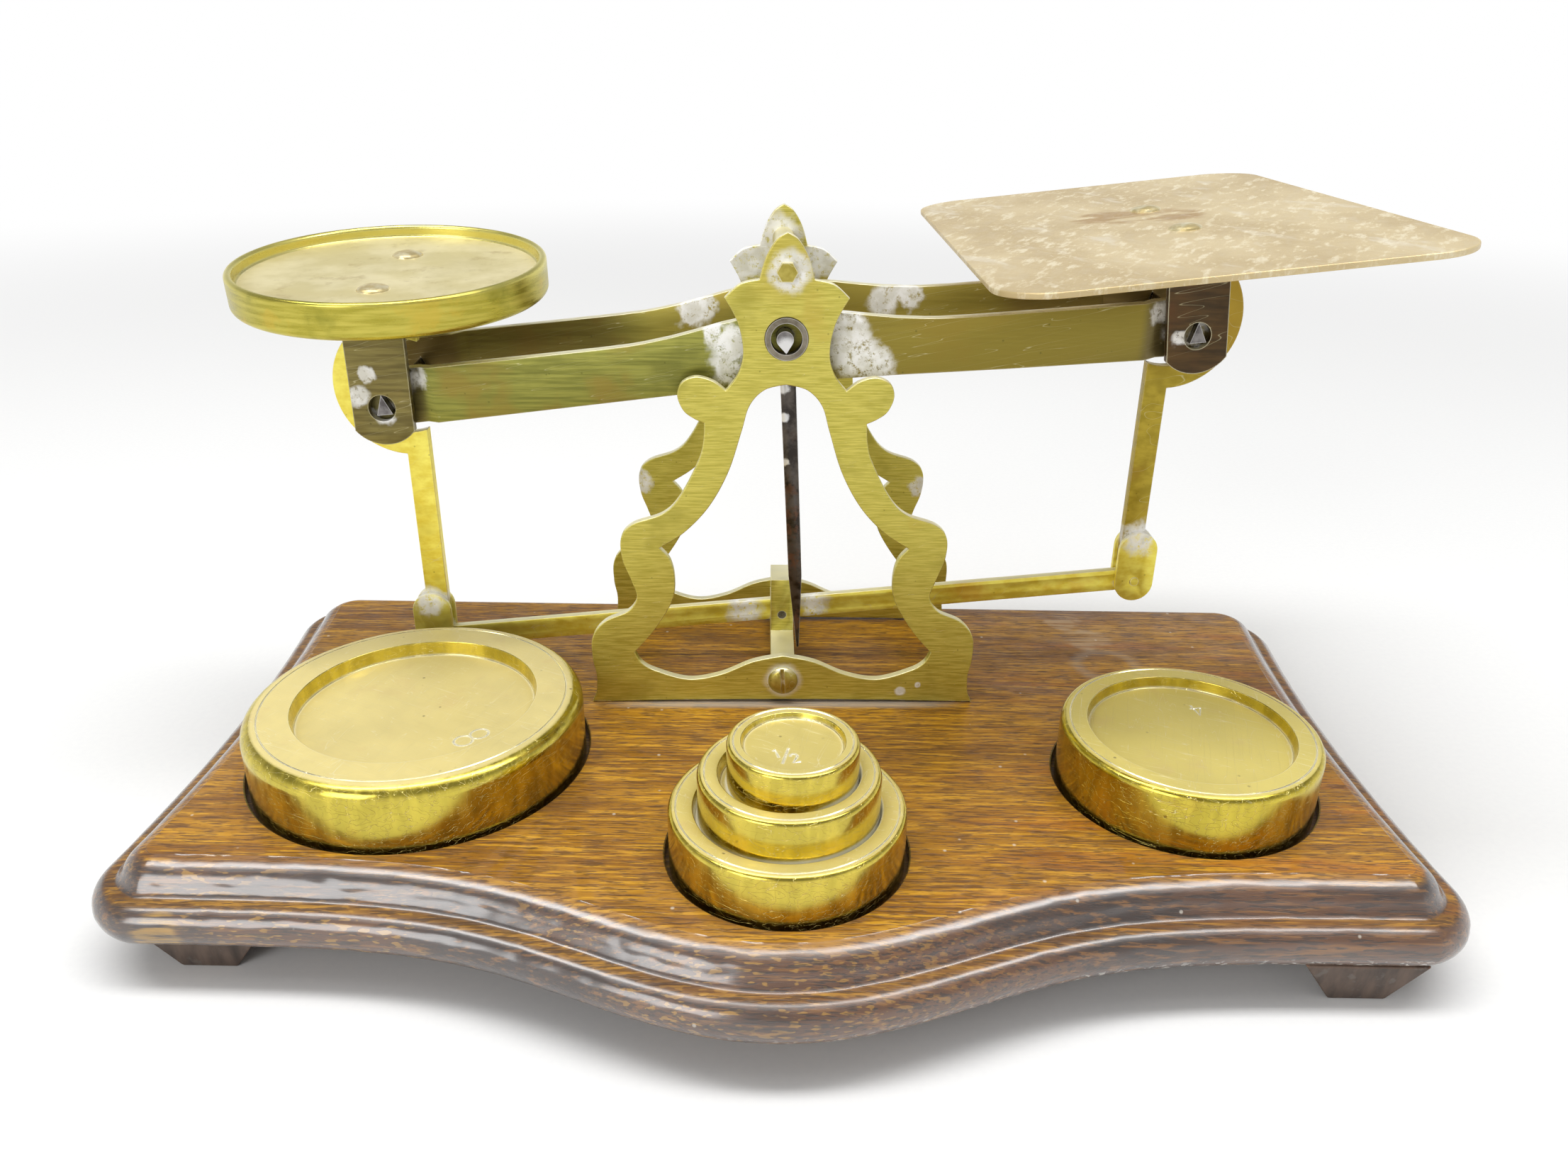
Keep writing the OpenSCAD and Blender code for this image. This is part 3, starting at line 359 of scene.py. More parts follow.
MID_Y = 20.55
FRONT_PLATE_Y, REAR_PLATE_Y = 3.3, 36.3
frame_polish = [
    ((0.4, FRONT_PLATE_Y, 93.6), 4.0, 1.0), ((-1, REAR_PLATE_Y, 93.5), 5.4, 1.8),
    ((-7, REAR_PLATE_Y, 89.5), 4.6, 2.0),
    ((6.6, REAR_PLATE_Y, 90), 4.2, 2.2), ((0, FRONT_PLATE_Y, 22.5), 3.9, 0.7), ((21, FRONT_PLATE_Y, 20.2), 1.1, 0.6),
    ((24, FRONT_PLATE_Y, 21.5), 0.7, 0.4), ((-24, REAR_PLATE_Y, 57), 3.6, 3.0), ((24, REAR_PLATE_Y, 57), 3.6, 3.0),
    ((-27, REAR_PLATE_Y, 48), 2.6, 2.4), ((27, REAR_PLATE_Y, 47), 2.4, 2.4),
]
finial = (lambda brass: brass.near((0, FRONT_PLATE_Y, 96), 8, 3, 200), (0.52, 0.38, 0.06), 0.3)
sheet_brass = brushed_brass("sheet_brass", (0.47, 0.41, 0.058), (0.70, 0.62, 0.135), (0.56, 0.41, 0.065),
                            frame_polish, extra=[finial])
screw_brass = brushed_brass("screw_brass", (0.36, 0.29, 0.05), (0.52, 0.43, 0.10), (0.34, 0.22, 0.04), [],
                            brushing=(500, 500, 500), metal=0.8)
print("sheet brass:", len(sheet_brass.node_tree.nodes), "nodes")

# %% [markdown]
# The frame's two plates are sawn from sheet and filed. In the photograph their outlines are
# smooth to the last curve and every edge is slightly broken. A 2D curve object does just
# that: outlines and holes are splines, Extrude gives the thickness and Bevel the broken
# edge. Catmull-Rom curves run through the same points that the model's plates use.

# %% Outline of a frame plate
BOARD_TOP = 18.0
BEARING_H = 65.3


def through(points, steps=8):
    """Smooth curve through points, without the last one."""
    found, last = [], len(points) - 1
    for i in range(last):
        a, b, c, d = (Vector(points[j]) for j in (max(i - 1, 0), i, i + 1, min(i + 2, last)))
        for k in range(steps):
            t = k / steps
            found.append(0.5 * (2 * b + (c - a) * t + (2 * a - 5 * b + 4 * c - d) * t * t
                                + (3 * b - a - 3 * c + d) * t ** 3))
    return found


def from_bearing(points):
    return [(x, z + BEARING_H) for x, z in points]


outside_runs = [
    from_bearing([(0, 16.1), (1.7, 15), (3.3, 12.3), (4.25, 9.1)]),
    from_bearing([(4.25, 9.1), (7.2, 8.4), (9.65, 6.3)]),
    from_bearing([(9.65, 6.3), (7.6, 2.4), (6.8, -2.1), (7.6, -5.6), (9.6, -8.3)]),
    from_bearing([(9.6, -8.3), (11.6, -6.8), (14.3, -6.1), (16.6, -7.1), (17.3, -9.2), (16.4, -11.6),
                  (14.8, -12.9), (13.1, -13.7)]),
    from_bearing([(13.1, -13.7), (13.3, -16.8), (14.2, -20.2)]) + [
        (17.3, 39.1), (20.3, 36), (25.4, 34.1), (27.4, 31.6), (27.3, 27.6), (26, 23.8), (25.2, 20.6), (26.8, 18),
        (30.9, 16), (33.2, 12.9), (33.4, 8.6), (32.9, 5.3), (33.1, 2), (33.9, 0)],
    [(33.9, 0), (17, 0.4), (0, 0.5)],
]
inside_runs = [
    from_bearing([(0, -7.3), (3.4, -8.2), (5.8, -10.8), (7.1, -15.1), (9.3, -22)]) + [
        (12.6, 37.2), (16.8, 32.6), (21, 29.8)],
    [(21, 29.8), (19.3, 27.6), (18.6, 24), (19.2, 19.8), (22.5, 14.2), (26, 10)],
    [(26, 10), (24.9, 7.9), (22.4, 6.3), (16.7, 4.6), (11, 5.6), (5.4, 8.1), (0, 9.3)],
]


def both_halves(runs):
    """The right half's runs, then the same mirrored back up the left."""
    half = [p for run in runs for p in through(run)] + [Vector(runs[-1][-1])]
    return half + [Vector((-p.x, p.y)) for p in reversed(half[1:-1])]


def ring(radius, height, count=48):
    return [Vector((radius * cos(2 * pi * i / count), height + radius * sin(2 * pi * i / count)))
            for i in range(count)]


plate_outline = both_halves(outside_runs)
plate_holes = [both_halves(inside_runs), ring(3.37, BEARING_H), ring(1.12, BEARING_H + 10.3, 24), ring(1.02, 4.5, 24)]
print("plate outline:", len(plate_outline), "points and", len(plate_holes), "holes")

# %% [markdown]
# The curve is turned into a mesh at once, and then stands up in the frame's own plane. The
# broken edge eats into the outline by its own width, so the plate keeps its real size.

# %% Cut the two frame plates
def smooth_by_angle(mesh, limit):
    mesh.shade_smooth()
    mesh.set_sharp_from_angle(angle=radians(limit))


def dress(name, mesh, finish, body, slot, *stands_for):
    """Makes an object of a mesh, gives it its finish, and lets it ride on a body."""
    piece = bpy.data.objects.new(name, mesh)
    scene.collection.objects.link(piece)
    mesh.materials.clear()
    mesh.materials.append(finish)
    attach(piece, body)
    if stands_for:
        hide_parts(*stands_for)
    return piece


def sheet_cut(name, outline, holes, thickness, broken):
    """Mesh of a flat piece in X and Y, its middle at z = 0, in metres."""
    curve = bpy.data.curves.new(name, "CURVE")
    curve.dimensions, curve.fill_mode = "2D", "BOTH"
    for points in [outline, *holes]:
        spline = curve.splines.new("POLY")
        spline.points.add(len(points) - 1)
        for at, p in zip(spline.points, points):
            at.co = (p[0] * MM, p[1] * MM, 0, 1)
        spline.use_cyclic_u = True
    curve.extrude = (thickness / 2 - broken) * MM
    curve.bevel_depth, curve.bevel_resolution = broken * MM, 2
    curve.offset = -broken * MM
    holder = bpy.data.objects.new(name, curve)
    mesh = bpy.data.meshes.new_from_object(holder)
    bpy.data.objects.remove(holder)
    shape = bmesh.new()
    shape.from_mesh(mesh)
    bmesh.ops.remove_doubles(shape, verts=shape.verts, dist=0.002 * MM)
    bmesh.ops.recalc_face_normals(shape, faces=shape.faces)
    shape.to_mesh(mesh)
    shape.free()
    mesh.name = name
    return mesh


def keep_flats_flat(piece):
    """Lets large faces rule the shading, so that thin bevels don't tint the flats beside them."""
    weigh = piece.modifiers.new("flats_rule", "WEIGHTED_NORMAL")
    weigh.keep_sharp, weigh.weight = True, 100


PLATE_T = 1.5
PLATE_MID = 15.75 + PLATE_T / 2
for side, node in ((-1, "front_frame_plate"), (1, "rear_frame_plate")):
    mesh = sheet_cut(node + "_cut", plate_outline, plate_holes, PLATE_T, 0.18)
    mesh.transform(Matrix.Translation(Vector((0, MID_Y + side * PLATE_MID, BOARD_TOP)) * MM)
                   @ Matrix.Rotation(pi / 2, 4, "X"))
    smooth_by_angle(mesh, 32)
    piece = dress(node + "_cut", mesh, sheet_brass, "stand", "frame_brass", node)
    keep_flats_flat(piece)
    low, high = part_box(node)
    print(node, len(mesh.polygons), "faces, box differs by",
          round(max(abs(piece.bound_box[0][0] - low.x), abs(piece.bound_box[6][2] - high.z)) / MM, 3), "mm")

# %% [markdown]
# The board is a hardwood plank with a bowed front. Its edge was run with a plane or a
# spindle: a slack round on top, a hollow under it, and a bead at the foot. The section is
# one smooth curve through a few points, then an arc, carried round the outline in fine
# steps. The top round is slack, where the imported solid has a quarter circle, because with
# that its gleam is a thin line. So this board differs from its solid by about a millimetre.
# A little slow noise pushes the moulding inward, as hand work and a century of wear do.

# %% Shape of the board
TOP_HALF_W, TOP_HALF_D, TOP_MID_Y = 92.55, 42.15, -0.3
FOOT_H, BEAD_R, MOULDING = 7.0, 3.4, 8.7
FRONT_CORNER, BACK_CORNER = 2.5, 3.0
SIDE_HOLLOW = 2.4
BOARD_TURN = radians(-1.7)


def bow(x):
    return 16.4 * exp(-(x / 34) ** 2)


def bow_slope(x):
    return bow(x) * 2 * x / 34 ** 2


def side_x(y):
    """Half the flat top's width: the sides are a little hollow."""
    return TOP_HALF_W - SIDE_HOLLOW * (1 - (y / TOP_HALF_D) ** 2)


def side_way(y):
    return Vector((1, -2 * SIDE_HOLLOW * y / TOP_HALF_D ** 2)).normalized()


def corner_points(end, r, first, last, count):
    """Arc round the right hand corner at the front, end -1, or at the back, end 1."""
    y = end * (TOP_HALF_D - r)
    centre = Vector((side_x(y), y)) - r * side_way(y)
    ways = [Vector((cos(a), sin(a))) for a in
            (radians(first + (last - first) * k / count) for k in range(count + 1))]
    return [(centre + r * way, way) for way in ways]


def board_outline(out, steps=240, side_steps=24):
    """Outline of the flat top, grown outward, as points with their outward directions."""
    lean = degrees(atan2(2 * SIDE_HOLLOW, TOP_HALF_D))
    xf = side_x(TOP_HALF_D) - FRONT_CORNER
    front = []
    for i in range(steps + 1):
        x = xf * (2 * i / steps - 1)
        front.append((Vector((x, -TOP_HALF_D - bow(x))), Vector((bow_slope(x), -1)).normalized()))
    half = corner_points(-1, FRONT_CORNER, -75, lean, 14)
    for i in range(1, side_steps):
        y = TOP_HALF_D * (2 * i / side_steps - 1) * 0.9
        half.append((Vector((side_x(y), y)), side_way(y)))
    half += corner_points(1, BACK_CORNER, -lean, 90, 16)
    left = [(Vector((-p.x, p.y)), Vector((-way.x, way.y))) for p, way in reversed(half)]
    turn = Matrix.Rotation(BOARD_TURN, 2)
    return [(turn @ (p + out * way) + Vector((0, TOP_MID_Y)), turn @ way) for p, way in front + half + left]


def arc_of(cx, cz, radius, first, last, count):
    return [(cx + radius * cos(radians(first + (last - first) * k / count)),
             cz + radius * sin(radians(first + (last - first) * k / count))) for k in range(count + 1)]


bead_out, bead_top = MOULDING - BEAD_R, FOOT_H + 2 * BEAD_R
shoulder = [(0, 4.2), (1.2, 3.8), (2.4, 3.12), (3.3, 2.2), (3.9, 1.2), (4.5, 0.42), (bead_out - 0.2, 0.03)]
section = [(p.x, bead_top + p.y) for p in through(shoulder, 4)]
section += arc_of(bead_out, FOOT_H + BEAD_R, BEAD_R, 90, -90, 20)
print("moulding section:", len(section), "points; outline:", len(board_outline(0)), "points")

# %% Carry the section round the outline
board_points, board_faces = [], []
for row, (out, z) in enumerate(section):
    for p, way in board_outline(out):
        worn = 0.0
        if 0 < row < len(section) - 1:
            slow = noise.noise(Vector((p.x / 23, p.y / 23, z / 9)))
            quick = noise.noise(Vector((p.x / 3.2 + 7, p.y / 3.2, z / 1.6)))
            worn = 0.06 * (slow + 1) + 0.16 * max(0.0, quick)
        q = p - worn * way
        board_points.append((q.x * MM, q.y * MM, z * MM))
round_n = len(board_points) // len(section)
for row in range(len(section) - 1):
    for i in range(round_n):
        j = (i + 1) % round_n
        board_faces.append((row * round_n + i, (row + 1) * round_n + i, (row + 1) * round_n + j, row * round_n + j))
board_faces.append(tuple(range(round_n)))
board_faces.append(tuple(reversed(range(len(board_points) - round_n, len(board_points)))))
board_mesh = bpy.data.meshes.new("board")
board_mesh.from_pydata(board_points, [], board_faces)
print("board:", len(board_mesh.vertices), "points")

# %% [markdown]
# Three shallow round recesses hold the weights. A boolean cuts them with turned cutters,
# whose profile flares at the top, so the rim of each recess comes out slightly rounded,
# as on the real board, where a bit cut the hole and polish softened its edge.

# %% Turn cutters and weights from profiles
def turned(name, profile, count=128):
    """Mesh turned from (radius, height) points in mm that start and end on the axis."""
    points, faces = [], []
    rim = [p for p in profile if p[0] > 0]
    for r, z in rim:
        points += [(r * cos(2 * pi * i / count) * MM, r * sin(2 * pi * i / count) * MM, z * MM) for i in range(count)]
    for k in range(len(rim) - 1):
        for i in range(count):
            j = (i + 1) % count
            faces.append((k * count + i, k * count + j, (k + 1) * count + j, (k + 1) * count + i))
    faces.append(tuple(reversed(range(count))))
    faces.append(tuple(range((len(rim) - 1) * count, len(rim) * count)))
    mesh = bpy.data.meshes.new(name)
    mesh.from_pydata(points, [], faces)
    return mesh


def cut_away(mesh, cutters):
    """The mesh with each cutter's shape taken out."""
    holder = bpy.data.objects.new("work", mesh)
    scene.collection.objects.link(holder)
    tools = []
    for n, cutter in enumerate(cutters):
        tool = bpy.data.objects.new(f"cutter{n}", cutter)
        scene.collection.objects.link(tool)
        cut = holder.modifiers.new(f"cut{n}", "BOOLEAN")
        cut.operation, cut.solver, cut.object = "DIFFERENCE", "EXACT", tool
        cut.use_self = True
        tools.append(tool)
    bpy.context.view_layer.update()
    made = bpy.data.meshes.new_from_object(holder.evaluated_get(bpy.context.evaluated_depsgraph_get()))
    for thing in [holder, *tools]:
        bpy.data.objects.remove(thing)
    return made


RECESS_FLOOR = BOARD_TOP - 2
recesses = [(-59.88, -12.75, 27.3), (64.1, -20.85, 20.65), (0, -38.55, 17.9)]
cutters = []
for x, y, r in recesses:
    top = BOARD_TOP
    cutter = turned("recess", [(0, RECESS_FLOOR), (r, RECESS_FLOOR), (r, top - 0.35), (r + 0.08, top - 0.12),
                               (r + 0.3, top + 0.02), (r + 0.3, top + 1), (0, top + 1)])
    cutter.transform(Matrix.Translation(Vector((x, y, 0)) * MM))
    cutters.append(cutter)
board_cut = cut_away(board_mesh, cutters)
smooth_by_angle(board_cut, 24)
print("board with recesses:", len(board_cut.polygons), "faces")

# %% [markdown]
# The board is stained hardwood under French polish. On the flat top the polish has worn
# thin, and the open grain shows: short dark pores, amber streaks between them, all running
# along the plank. On the mouldings the polish is thick, dark and crackled, with amber
# flecks where it has rubbed through. A Coat on the shader stands for the polish. It is thin
# on top and thick on the mouldings, and its bump breaks the gleams into dashes.

# %% Polished hardwood for the board
wood = Finish("polished_hardwood")


def grain(stretch, detail=3.0, rough=0.6):
    return wood.cloud(stretch, detail, rough, spin=-BOARD_TURN)


figure = grain((14, 130, 130), 3.0, 0.55)
streak = grain((85, 1350, 1350))
pores = grain((240, 2500, 2500), 2.0, 0.55)
fine_pores = grain((520, 4200, 4200), 2.0)
blotch = wood.cloud((34, 60, 60), 3.0)
on_top = wood.upward(0.82, 0.985)
wood.colour = wood.mix(wood.step(figure, 0.32, 0.68), (0.26, 0.105, 0.006), (0.43, 0.20, 0.010))
wood.layer(wood.step(streak, 0.49, 0.64), (0.66, 0.34, 0.022), 0.7)
wood.layer(wood.step(streak, 0.45, 0.32), (0.13, 0.048, 0.006), 0.75)
wood.layer(wood.both(wood.step(grain((20, 240, 240)), 0.48, 0.66), wood.where("X", 10, 60)),
           (0.40, 0.12, 0.010), 0.5)
wood.layer(wood.step(pores, 0.52, 0.60), (0.10, 0.038, 0.006), 0.7)
wood.layer(wood.step(fine_pores, 0.56, 0.66), (0.055, 0.022, 0.004), 0.5)
wood.layer(wood.step(blotch, 0.60, 0.74), (0.12, 0.045, 0.006), 0.55)
top_colour = wood.colour

wood.colour = wood.mix(wood.step(blotch, 0.34, 0.6), (0.030, 0.014, 0.008), (0.105, 0.040, 0.012))
wood.layer(wood.step(streak, 0.50, 0.66), (0.25, 0.105, 0.018), 0.7)
flecks = wood.both(wood.step(grain((520, 1700, 1900), 1.0, 0.4), 0.57, 0.63), wood.step(blotch, 0.38, 0.52),
                   wood.where("X", 50, -10))
wood.layer(flecks, (0.50, 0.27, 0.035), 0.55)
wood.layer(wood.step(pores, 0.52, 0.60), (0.022, 0.012, 0.008), 0.75)
wood.layer(wood.both(wood.near((-89, -47.5, 9.5), 5, 3, 200), wood.step(streak, 0.40, 0.56)),
           (0.72, 0.41, 0.05), 0.45)
flat_top = wood.calc("MULTIPLY", on_top, wood.step(wood.part_of(wood.place, "Z"), 16.5 * MM, 17.8 * MM, 0.45, 1.0))
wood.colour = wood.mix(flat_top, wood.colour, top_colour)

chips = wood.both(wood.step(wood.cloud((800, 1500, 1500), 2.0, 0.6), 0.58, 0.62),
                  wood.where("Z", 10.0, 8.4), wood.where("X", -30, 30))
wood.layer(chips, (0.80, 0.77, 0.70), 0.8)
# Painted sheen: a pale pinkish patch at the back right of the top, broken by streaks, stands for light the polish
# reflects there.
painted_sheen_patch = wood.most(wood.near((61, 28, BOARD_TOP), 5.5, 3.0, 260), wood.near((58, 35, BOARD_TOP), 4.0, 3.0, 260))
wood.layer(wood.both(painted_sheen_patch, wood.step(streak, 0.36, 0.56)), (0.52, 0.36, 0.20), 0.7)
old_ring = wood.both(wood.near((62, 17, BOARD_TOP), 7.5, 0.8, 300),
                     wood.calc("SUBTRACT", 1.0, wood.near((62, 17, BOARD_TOP), 6.6, 0.8, 300)))
wood.layer(old_ring, (0.50, 0.46, 0.38), 0.5)
dust = wood.both(wood.near((0, MID_Y - 19, BOARD_TOP), 36, 6, 200), wood.where("Y", 0.6, 2.4),
                 wood.where("Y", 5.2, 4.2), on_top)
wood.layer(dust, (0.60, 0.56, 0.50), 0.55)
wood.layer(wood.spots(190, 0.07), (0.75, 0.70, 0.60), 0.5)
# Painted shade: Ambient Occlusion darkens the wood nearly to black in inner corners and round the parts that stand on
# it.
wood.layer(wood.corners(2.6, 0.2, 0.8), (0.018, 0.009, 0.006), 0.6)
wood_rough = wood.step(wood.cloud(240, 3.0), 0.3, 0.7, 0.40, 0.56)
crackle = wood.calc("ADD", grain((420, 2600, 2600), 4.0, 0.65),
                    wood.calc("MULTIPLY", wood.cloud((110, 330, 330), 3.0), 1.4))
open_grain = wood.calc("MULTIPLY", wood.step(pores, 0.50, 0.64), -0.9)
wood_height = wood.calc("ADD", wood.calc("MULTIPLY", crackle, wood.step(on_top, 0.0, 1.0, 2.4, 0.4)), open_grain)
coat_here = wood.step(on_top, 0.0, 1.0, 1.0, 0.10)
hardwood = wood.surface(wood_rough, 0.0, wood_height, 0.05, coat=coat_here, coat_roughness=0.18, coat_ior=1.9)
dress("board", board_cut, hardwood, "stand", "board_wood", "base_board")

old_wood = Finish("dull_dark_wood")
end_grain = old_wood.cloud((320, 320, 70), 4.0, 0.6)
old_wood.colour = old_wood.mix(old_wood.step(end_grain, 0.35, 0.7), (0.055, 0.040, 0.032), (0.15, 0.105, 0.08))
old_wood.layer(old_wood.step(old_wood.cloud(500, 3.0), 0.60, 0.70), (0.17, 0.15, 0.13), 0.5)
old_wood.layer(old_wood.edges(0.5), (0.40, 0.17, 0.07), 0.7)
foot_wood = old_wood.surface(old_wood.step(end_grain, 0.3, 0.7, 0.45, 0.7), 0.0, end_grain, 0.12)
print("wood finishes ready")

# %% [markdown]
# The weights are turned from bar brass: sides polished, tops satin, a shallow recess in
# each top where the next one sits. A profile turned about the upright axis makes them, with
# the corners rounded as tools and a century of fingers leave them.

# %% Turn the five weights
def rounded_profile(points, steps=5):
    """Profile from (radius, height, corner radius) points, corners replaced by arcs."""
    found = []
    for i, (x, z, r) in enumerate(points):
        if r == 0:
            found.append((x, z))
            continue
        p, a, b = Vector((x, z)), Vector(points[i - 1][:2]), Vector(points[i + 1][:2])
        u, v = (a - p).normalized(), (b - p).normalized()
        half = u.angle(v) / 2
        centre = p + (u + v).normalized() * r / sin(half)
        first, last = p + u * r / tan(half) - centre, p + v * r / tan(half) - centre
        start, sweep = atan2(first.y, first.x), atan2(first.x * last.y - first.y * last.x, first.dot(last))
        found += [(centre.x + r * cos(start + sweep * k / steps), centre.y + r * sin(start + sweep * k / steps))
                  for k in range(steps + 1)]
    return found


# Radius, height, recess radius, recess depth, shoulder radius, width of the bevelled lip
weight_sizes = {
    "8oz": (26.7, 12.4, 19.2, 2.5, 2.4, 0.1), "4oz": (20.05, 11.8, 15.9, 1.9, 1.2, 0.1),
    "2oz": (17.3, 10, 13.7, 2.2, 0.9, 1.6), "1oz": (13.2, 7.9, 10.25, 2.2, 0.8, 1.2),
    "half_oz": (9.45, 7, 7.4, 0.9, 0.7, 0.1),
}
weight_places = {
    "8oz": (-59.88, -12.75, RECESS_FLOOR), "4oz": (64.1, -20.85, RECESS_FLOOR), "2oz": (0, -38.55, RECESS_FLOOR),
    "1oz": (0.2, -38.55, RECESS_FLOOR + 7.8), "half_oz": (0.7, -38.55, RECESS_FLOOR + 13.5),
}
weight_meshes = {}
for name, (r, h, recess, depth, shoulder, lip) in weight_sizes.items():
    line = r - shoulder - 0.25
    profile = rounded_profile([
        (0, 0, 0), (r, 0, 0.5), (r, h, shoulder), (line + 0.14, h, 0), (line, h - 0.10, 0), (line - 0.14, h, 0),
        (recess + lip, h, 0), (recess, h - 0.22 * lip, 0.2), (recess - 0.3, h - depth, 0.25), (0, h - depth, 0)])
    weight_meshes[name] = turned("weight_" + name, profile, 160)
print("turned", ", ".join(weight_meshes))

# %% [markdown]
# Each weight is stamped with its number by a steel punch, which leaves a thin round
# groove. The strokes are drawn as curves with a round bevel, and cut out of the turned
# mesh, so that the figures are real grooves and catch the light from any side.

# %% Stamp the numbers
def ellipse(cx, cy, rx, ry, count=24):
    return [(cx + rx * sin(2 * pi * k / count), cy + ry * cos(2 * pi * k / count)) for k in range(count)]


two = [(-0.24, 0.74), (-0.17, 0.92), (0, 1.0), (0.17, 0.93), (0.24, 0.76), (0.18, 0.56), (-0.25, 0.0), (0.27, 0.0)]
one = [(-0.14, 0.80), (0.04, 1.0), (0.04, 0.0)]
four = [(0.12, 0.0), (0.12, 1.0), (-0.28, 0.30), (0.30, 0.30)]
small = 0.62
figures = {
    "8": [(ellipse(0, 0.75, 0.23, 0.25), True), (ellipse(0, 0.25, 0.25, 0.25), True)],
    "4": [(four, False)], "2": [(two, False)], "1": [(one, False)],
    "half": [([(x * small - 0.34, y * small + 0.42) for x, y in one], False),
             ([(-0.30, -0.05), (0.26, 1.0)], False),
             ([(x * small + 0.30, y * small - 0.08) for x, y in two], False)],
}


def stamp(mesh, figure, size, at, spin, groove=0.19):
    """Cuts a figure of the given height in mm into the mesh at a point, turned by spin."""
    curve = bpy.data.curves.new("punch", "CURVE")
    curve.dimensions = "3D"
    curve.bevel_depth, curve.bevel_resolution, curve.use_fill_caps = groove * MM, 2, True
    for points, closed in figures[figure]:
        spline = curve.splines.new("POLY")
        spline.points.add(len(points) - 1)
        for slot, (x, y) in zip(spline.points, points):
            slot.co = (x * size * MM, (y - 0.5) * size * MM, 0, 1)
        spline.use_cyclic_u = closed
    holder = bpy.data.objects.new("punch", curve)
    punch = bpy.data.meshes.new_from_object(holder)
    bpy.data.objects.remove(holder)
    punch.transform(Matrix.Translation(Vector(at) * MM) @ Matrix.Rotation(radians(spin), 4, "Z"))
    return cut_away(mesh, [punch])


# Figure, its height, its place from the weight's middle, and its turn in degrees
stamps = {"8oz": ("8", 5.8, (10.6, -8.3), -45), "4oz": ("4", 3.2, (4.1, 8.1), 190), "2oz": ("2", 3.2, (3, -4), 30),
          "1oz": ("1", 2.8, (-3, 3), -20), "half_oz": ("half", 3.4, (-1.1, -2.6), 15)}
for name, (figure, size, (x, y), spin) in stamps.items():
    floor_h = weight_sizes[name][1] - weight_sizes[name][3]
    weight_meshes[name] = stamp(weight_meshes[name], figure, size, (x, y, floor_h), spin)
    print(name, len(weight_meshes[name].polygons), "faces")

# %% [markdown]
# Weight brass is one metal in two states. The sides are polished and mirror the wood and
# the room. The tops were left satin from the lathe and are pale and even. How far the
# surface faces up tells them apart. Dried polish fills the stamped figures and the corner
# round each recess, which an Ambient Occlusion node with a reach of 0.6 mm finds.

# %% Finish of the weights
def turned_brass(name, side_colour, top_colour):
    brass = Finish(name)
    satin = brass.upward(0.90, 0.985)
    mottle = brass.cloud(130, 4.0, 0.6)
    cloudy = brass.cloud(45, 2.0, 0.5)
    smears = brass.cloud((420, 420, 110), 3.0, 0.6)
    brass.colour = brass.mix(brass.step(smears, 0.35, 0.7), side_colour, tuple(min(1, c * 1.35) for c in side_colour))
    # Painted shade: the sides darken and turn browner towards the board.
    brass.layer(brass.where("Z", BOARD_TOP + 5, BOARD_TOP - 1), (0.42, 0.30, 0.045), 0.3)
    brass.layer(brass.step(mottle, 0.54, 0.76), (0.50, 0.30, 0.040), 0.3)
    sides = brass.colour
    brass.colour = brass.mix(brass.step(cloudy, 0.35, 0.66), top_colour, darker(top_colour, 0.86))
    brass.layer(brass.step(mottle, 0.54, 0.75), (0.66, 0.48, 0.22), 0.3)
    brass.colour = brass.mix(satin, sides, brass.colour)
    hair = brass.most(brass.scratches((60, 900, 900), 0.006, 0.5), brass.scratches((800, 50, 800), 0.005, 0.3))
    brass.layer(hair, (0.92, 0.86, 0.62), 0.35)
    pits = brass.both(brass.spots(300, 0.10), brass.step(mottle, 0.46, 0.6))
    brass.layer(pits, (0.16, 0.11, 0.05), 0.75)
    brass.layer(brass.edges(0.3, 0.004, 0.10), (0.95, 0.90, 0.64), 0.7)
    chalky = brass.corners(0.6, 0.62, 0.93)
    brass.layer(chalky, (0.95, 0.94, 0.86), 0.85)
    shine = brass.step(smears, 0.3, 0.7, 0.13, 0.26)
    even = brass.step(brass.cloud(420, 3.0), 0.3, 0.7, 0.40, 0.52)
    rough = brass.calc("ADD", shine, brass.calc("MULTIPLY", brass.calc("SUBTRACT", even, shine), satin))
    metal = brass.calc("SUBTRACT", brass.step(satin, 0.0, 1.0, 1.0, 0.32),
                       brass.calc("MULTIPLY", chalky, 0.6), clamp=True)
    height = brass.calc("SUBTRACT", brass.calc("MULTIPLY", brass.cloud(90, 2.0), 0.6),
                        brass.calc("MULTIPLY", brass.most(pits, hair), 0.5))
    return brass.surface(rough, metal, height, 0.035)


weight_brass = {
    "8oz": turned_brass("weight_brass_8oz", (0.54, 0.44, 0.070), (0.82, 0.69, 0.29)),
    "4oz": turned_brass("weight_brass_4oz", (0.50, 0.40, 0.055), (0.76, 0.64, 0.19)),
}
for name in ("2oz", "1oz", "half_oz"):
    weight_brass[name] = turned_brass("weight_brass_" + name, (0.56, 0.45, 0.075), (0.78, 0.65, 0.22))
weight_bodies = {"8oz": "eight_ounces", "4oz": "four_ounces", "2oz": "two_ounces",
                 "1oz": "one_ounce", "half_oz": "half_ounce"}
for name, mesh in weight_meshes.items():
    mesh.transform(Matrix.Translation(Vector(weight_places[name]) * MM))
    smooth_by_angle(mesh, 28)
    dress("turned_" + name, mesh, weight_brass[name], weight_bodies[name], "weight_brass", "weight_" + name)
print("weights in place")

# %% [markdown]
# The other metal parts keep the model's own shapes. Their edges are exact there, and real
# edges never are, so a Bevel modifier breaks them by a tenth of a millimetre. Weld first
# joins the corners that the file keeps apart, and Decimate in its Dissolve mode joins flat
# triangles, so that the bevel runs evenly.

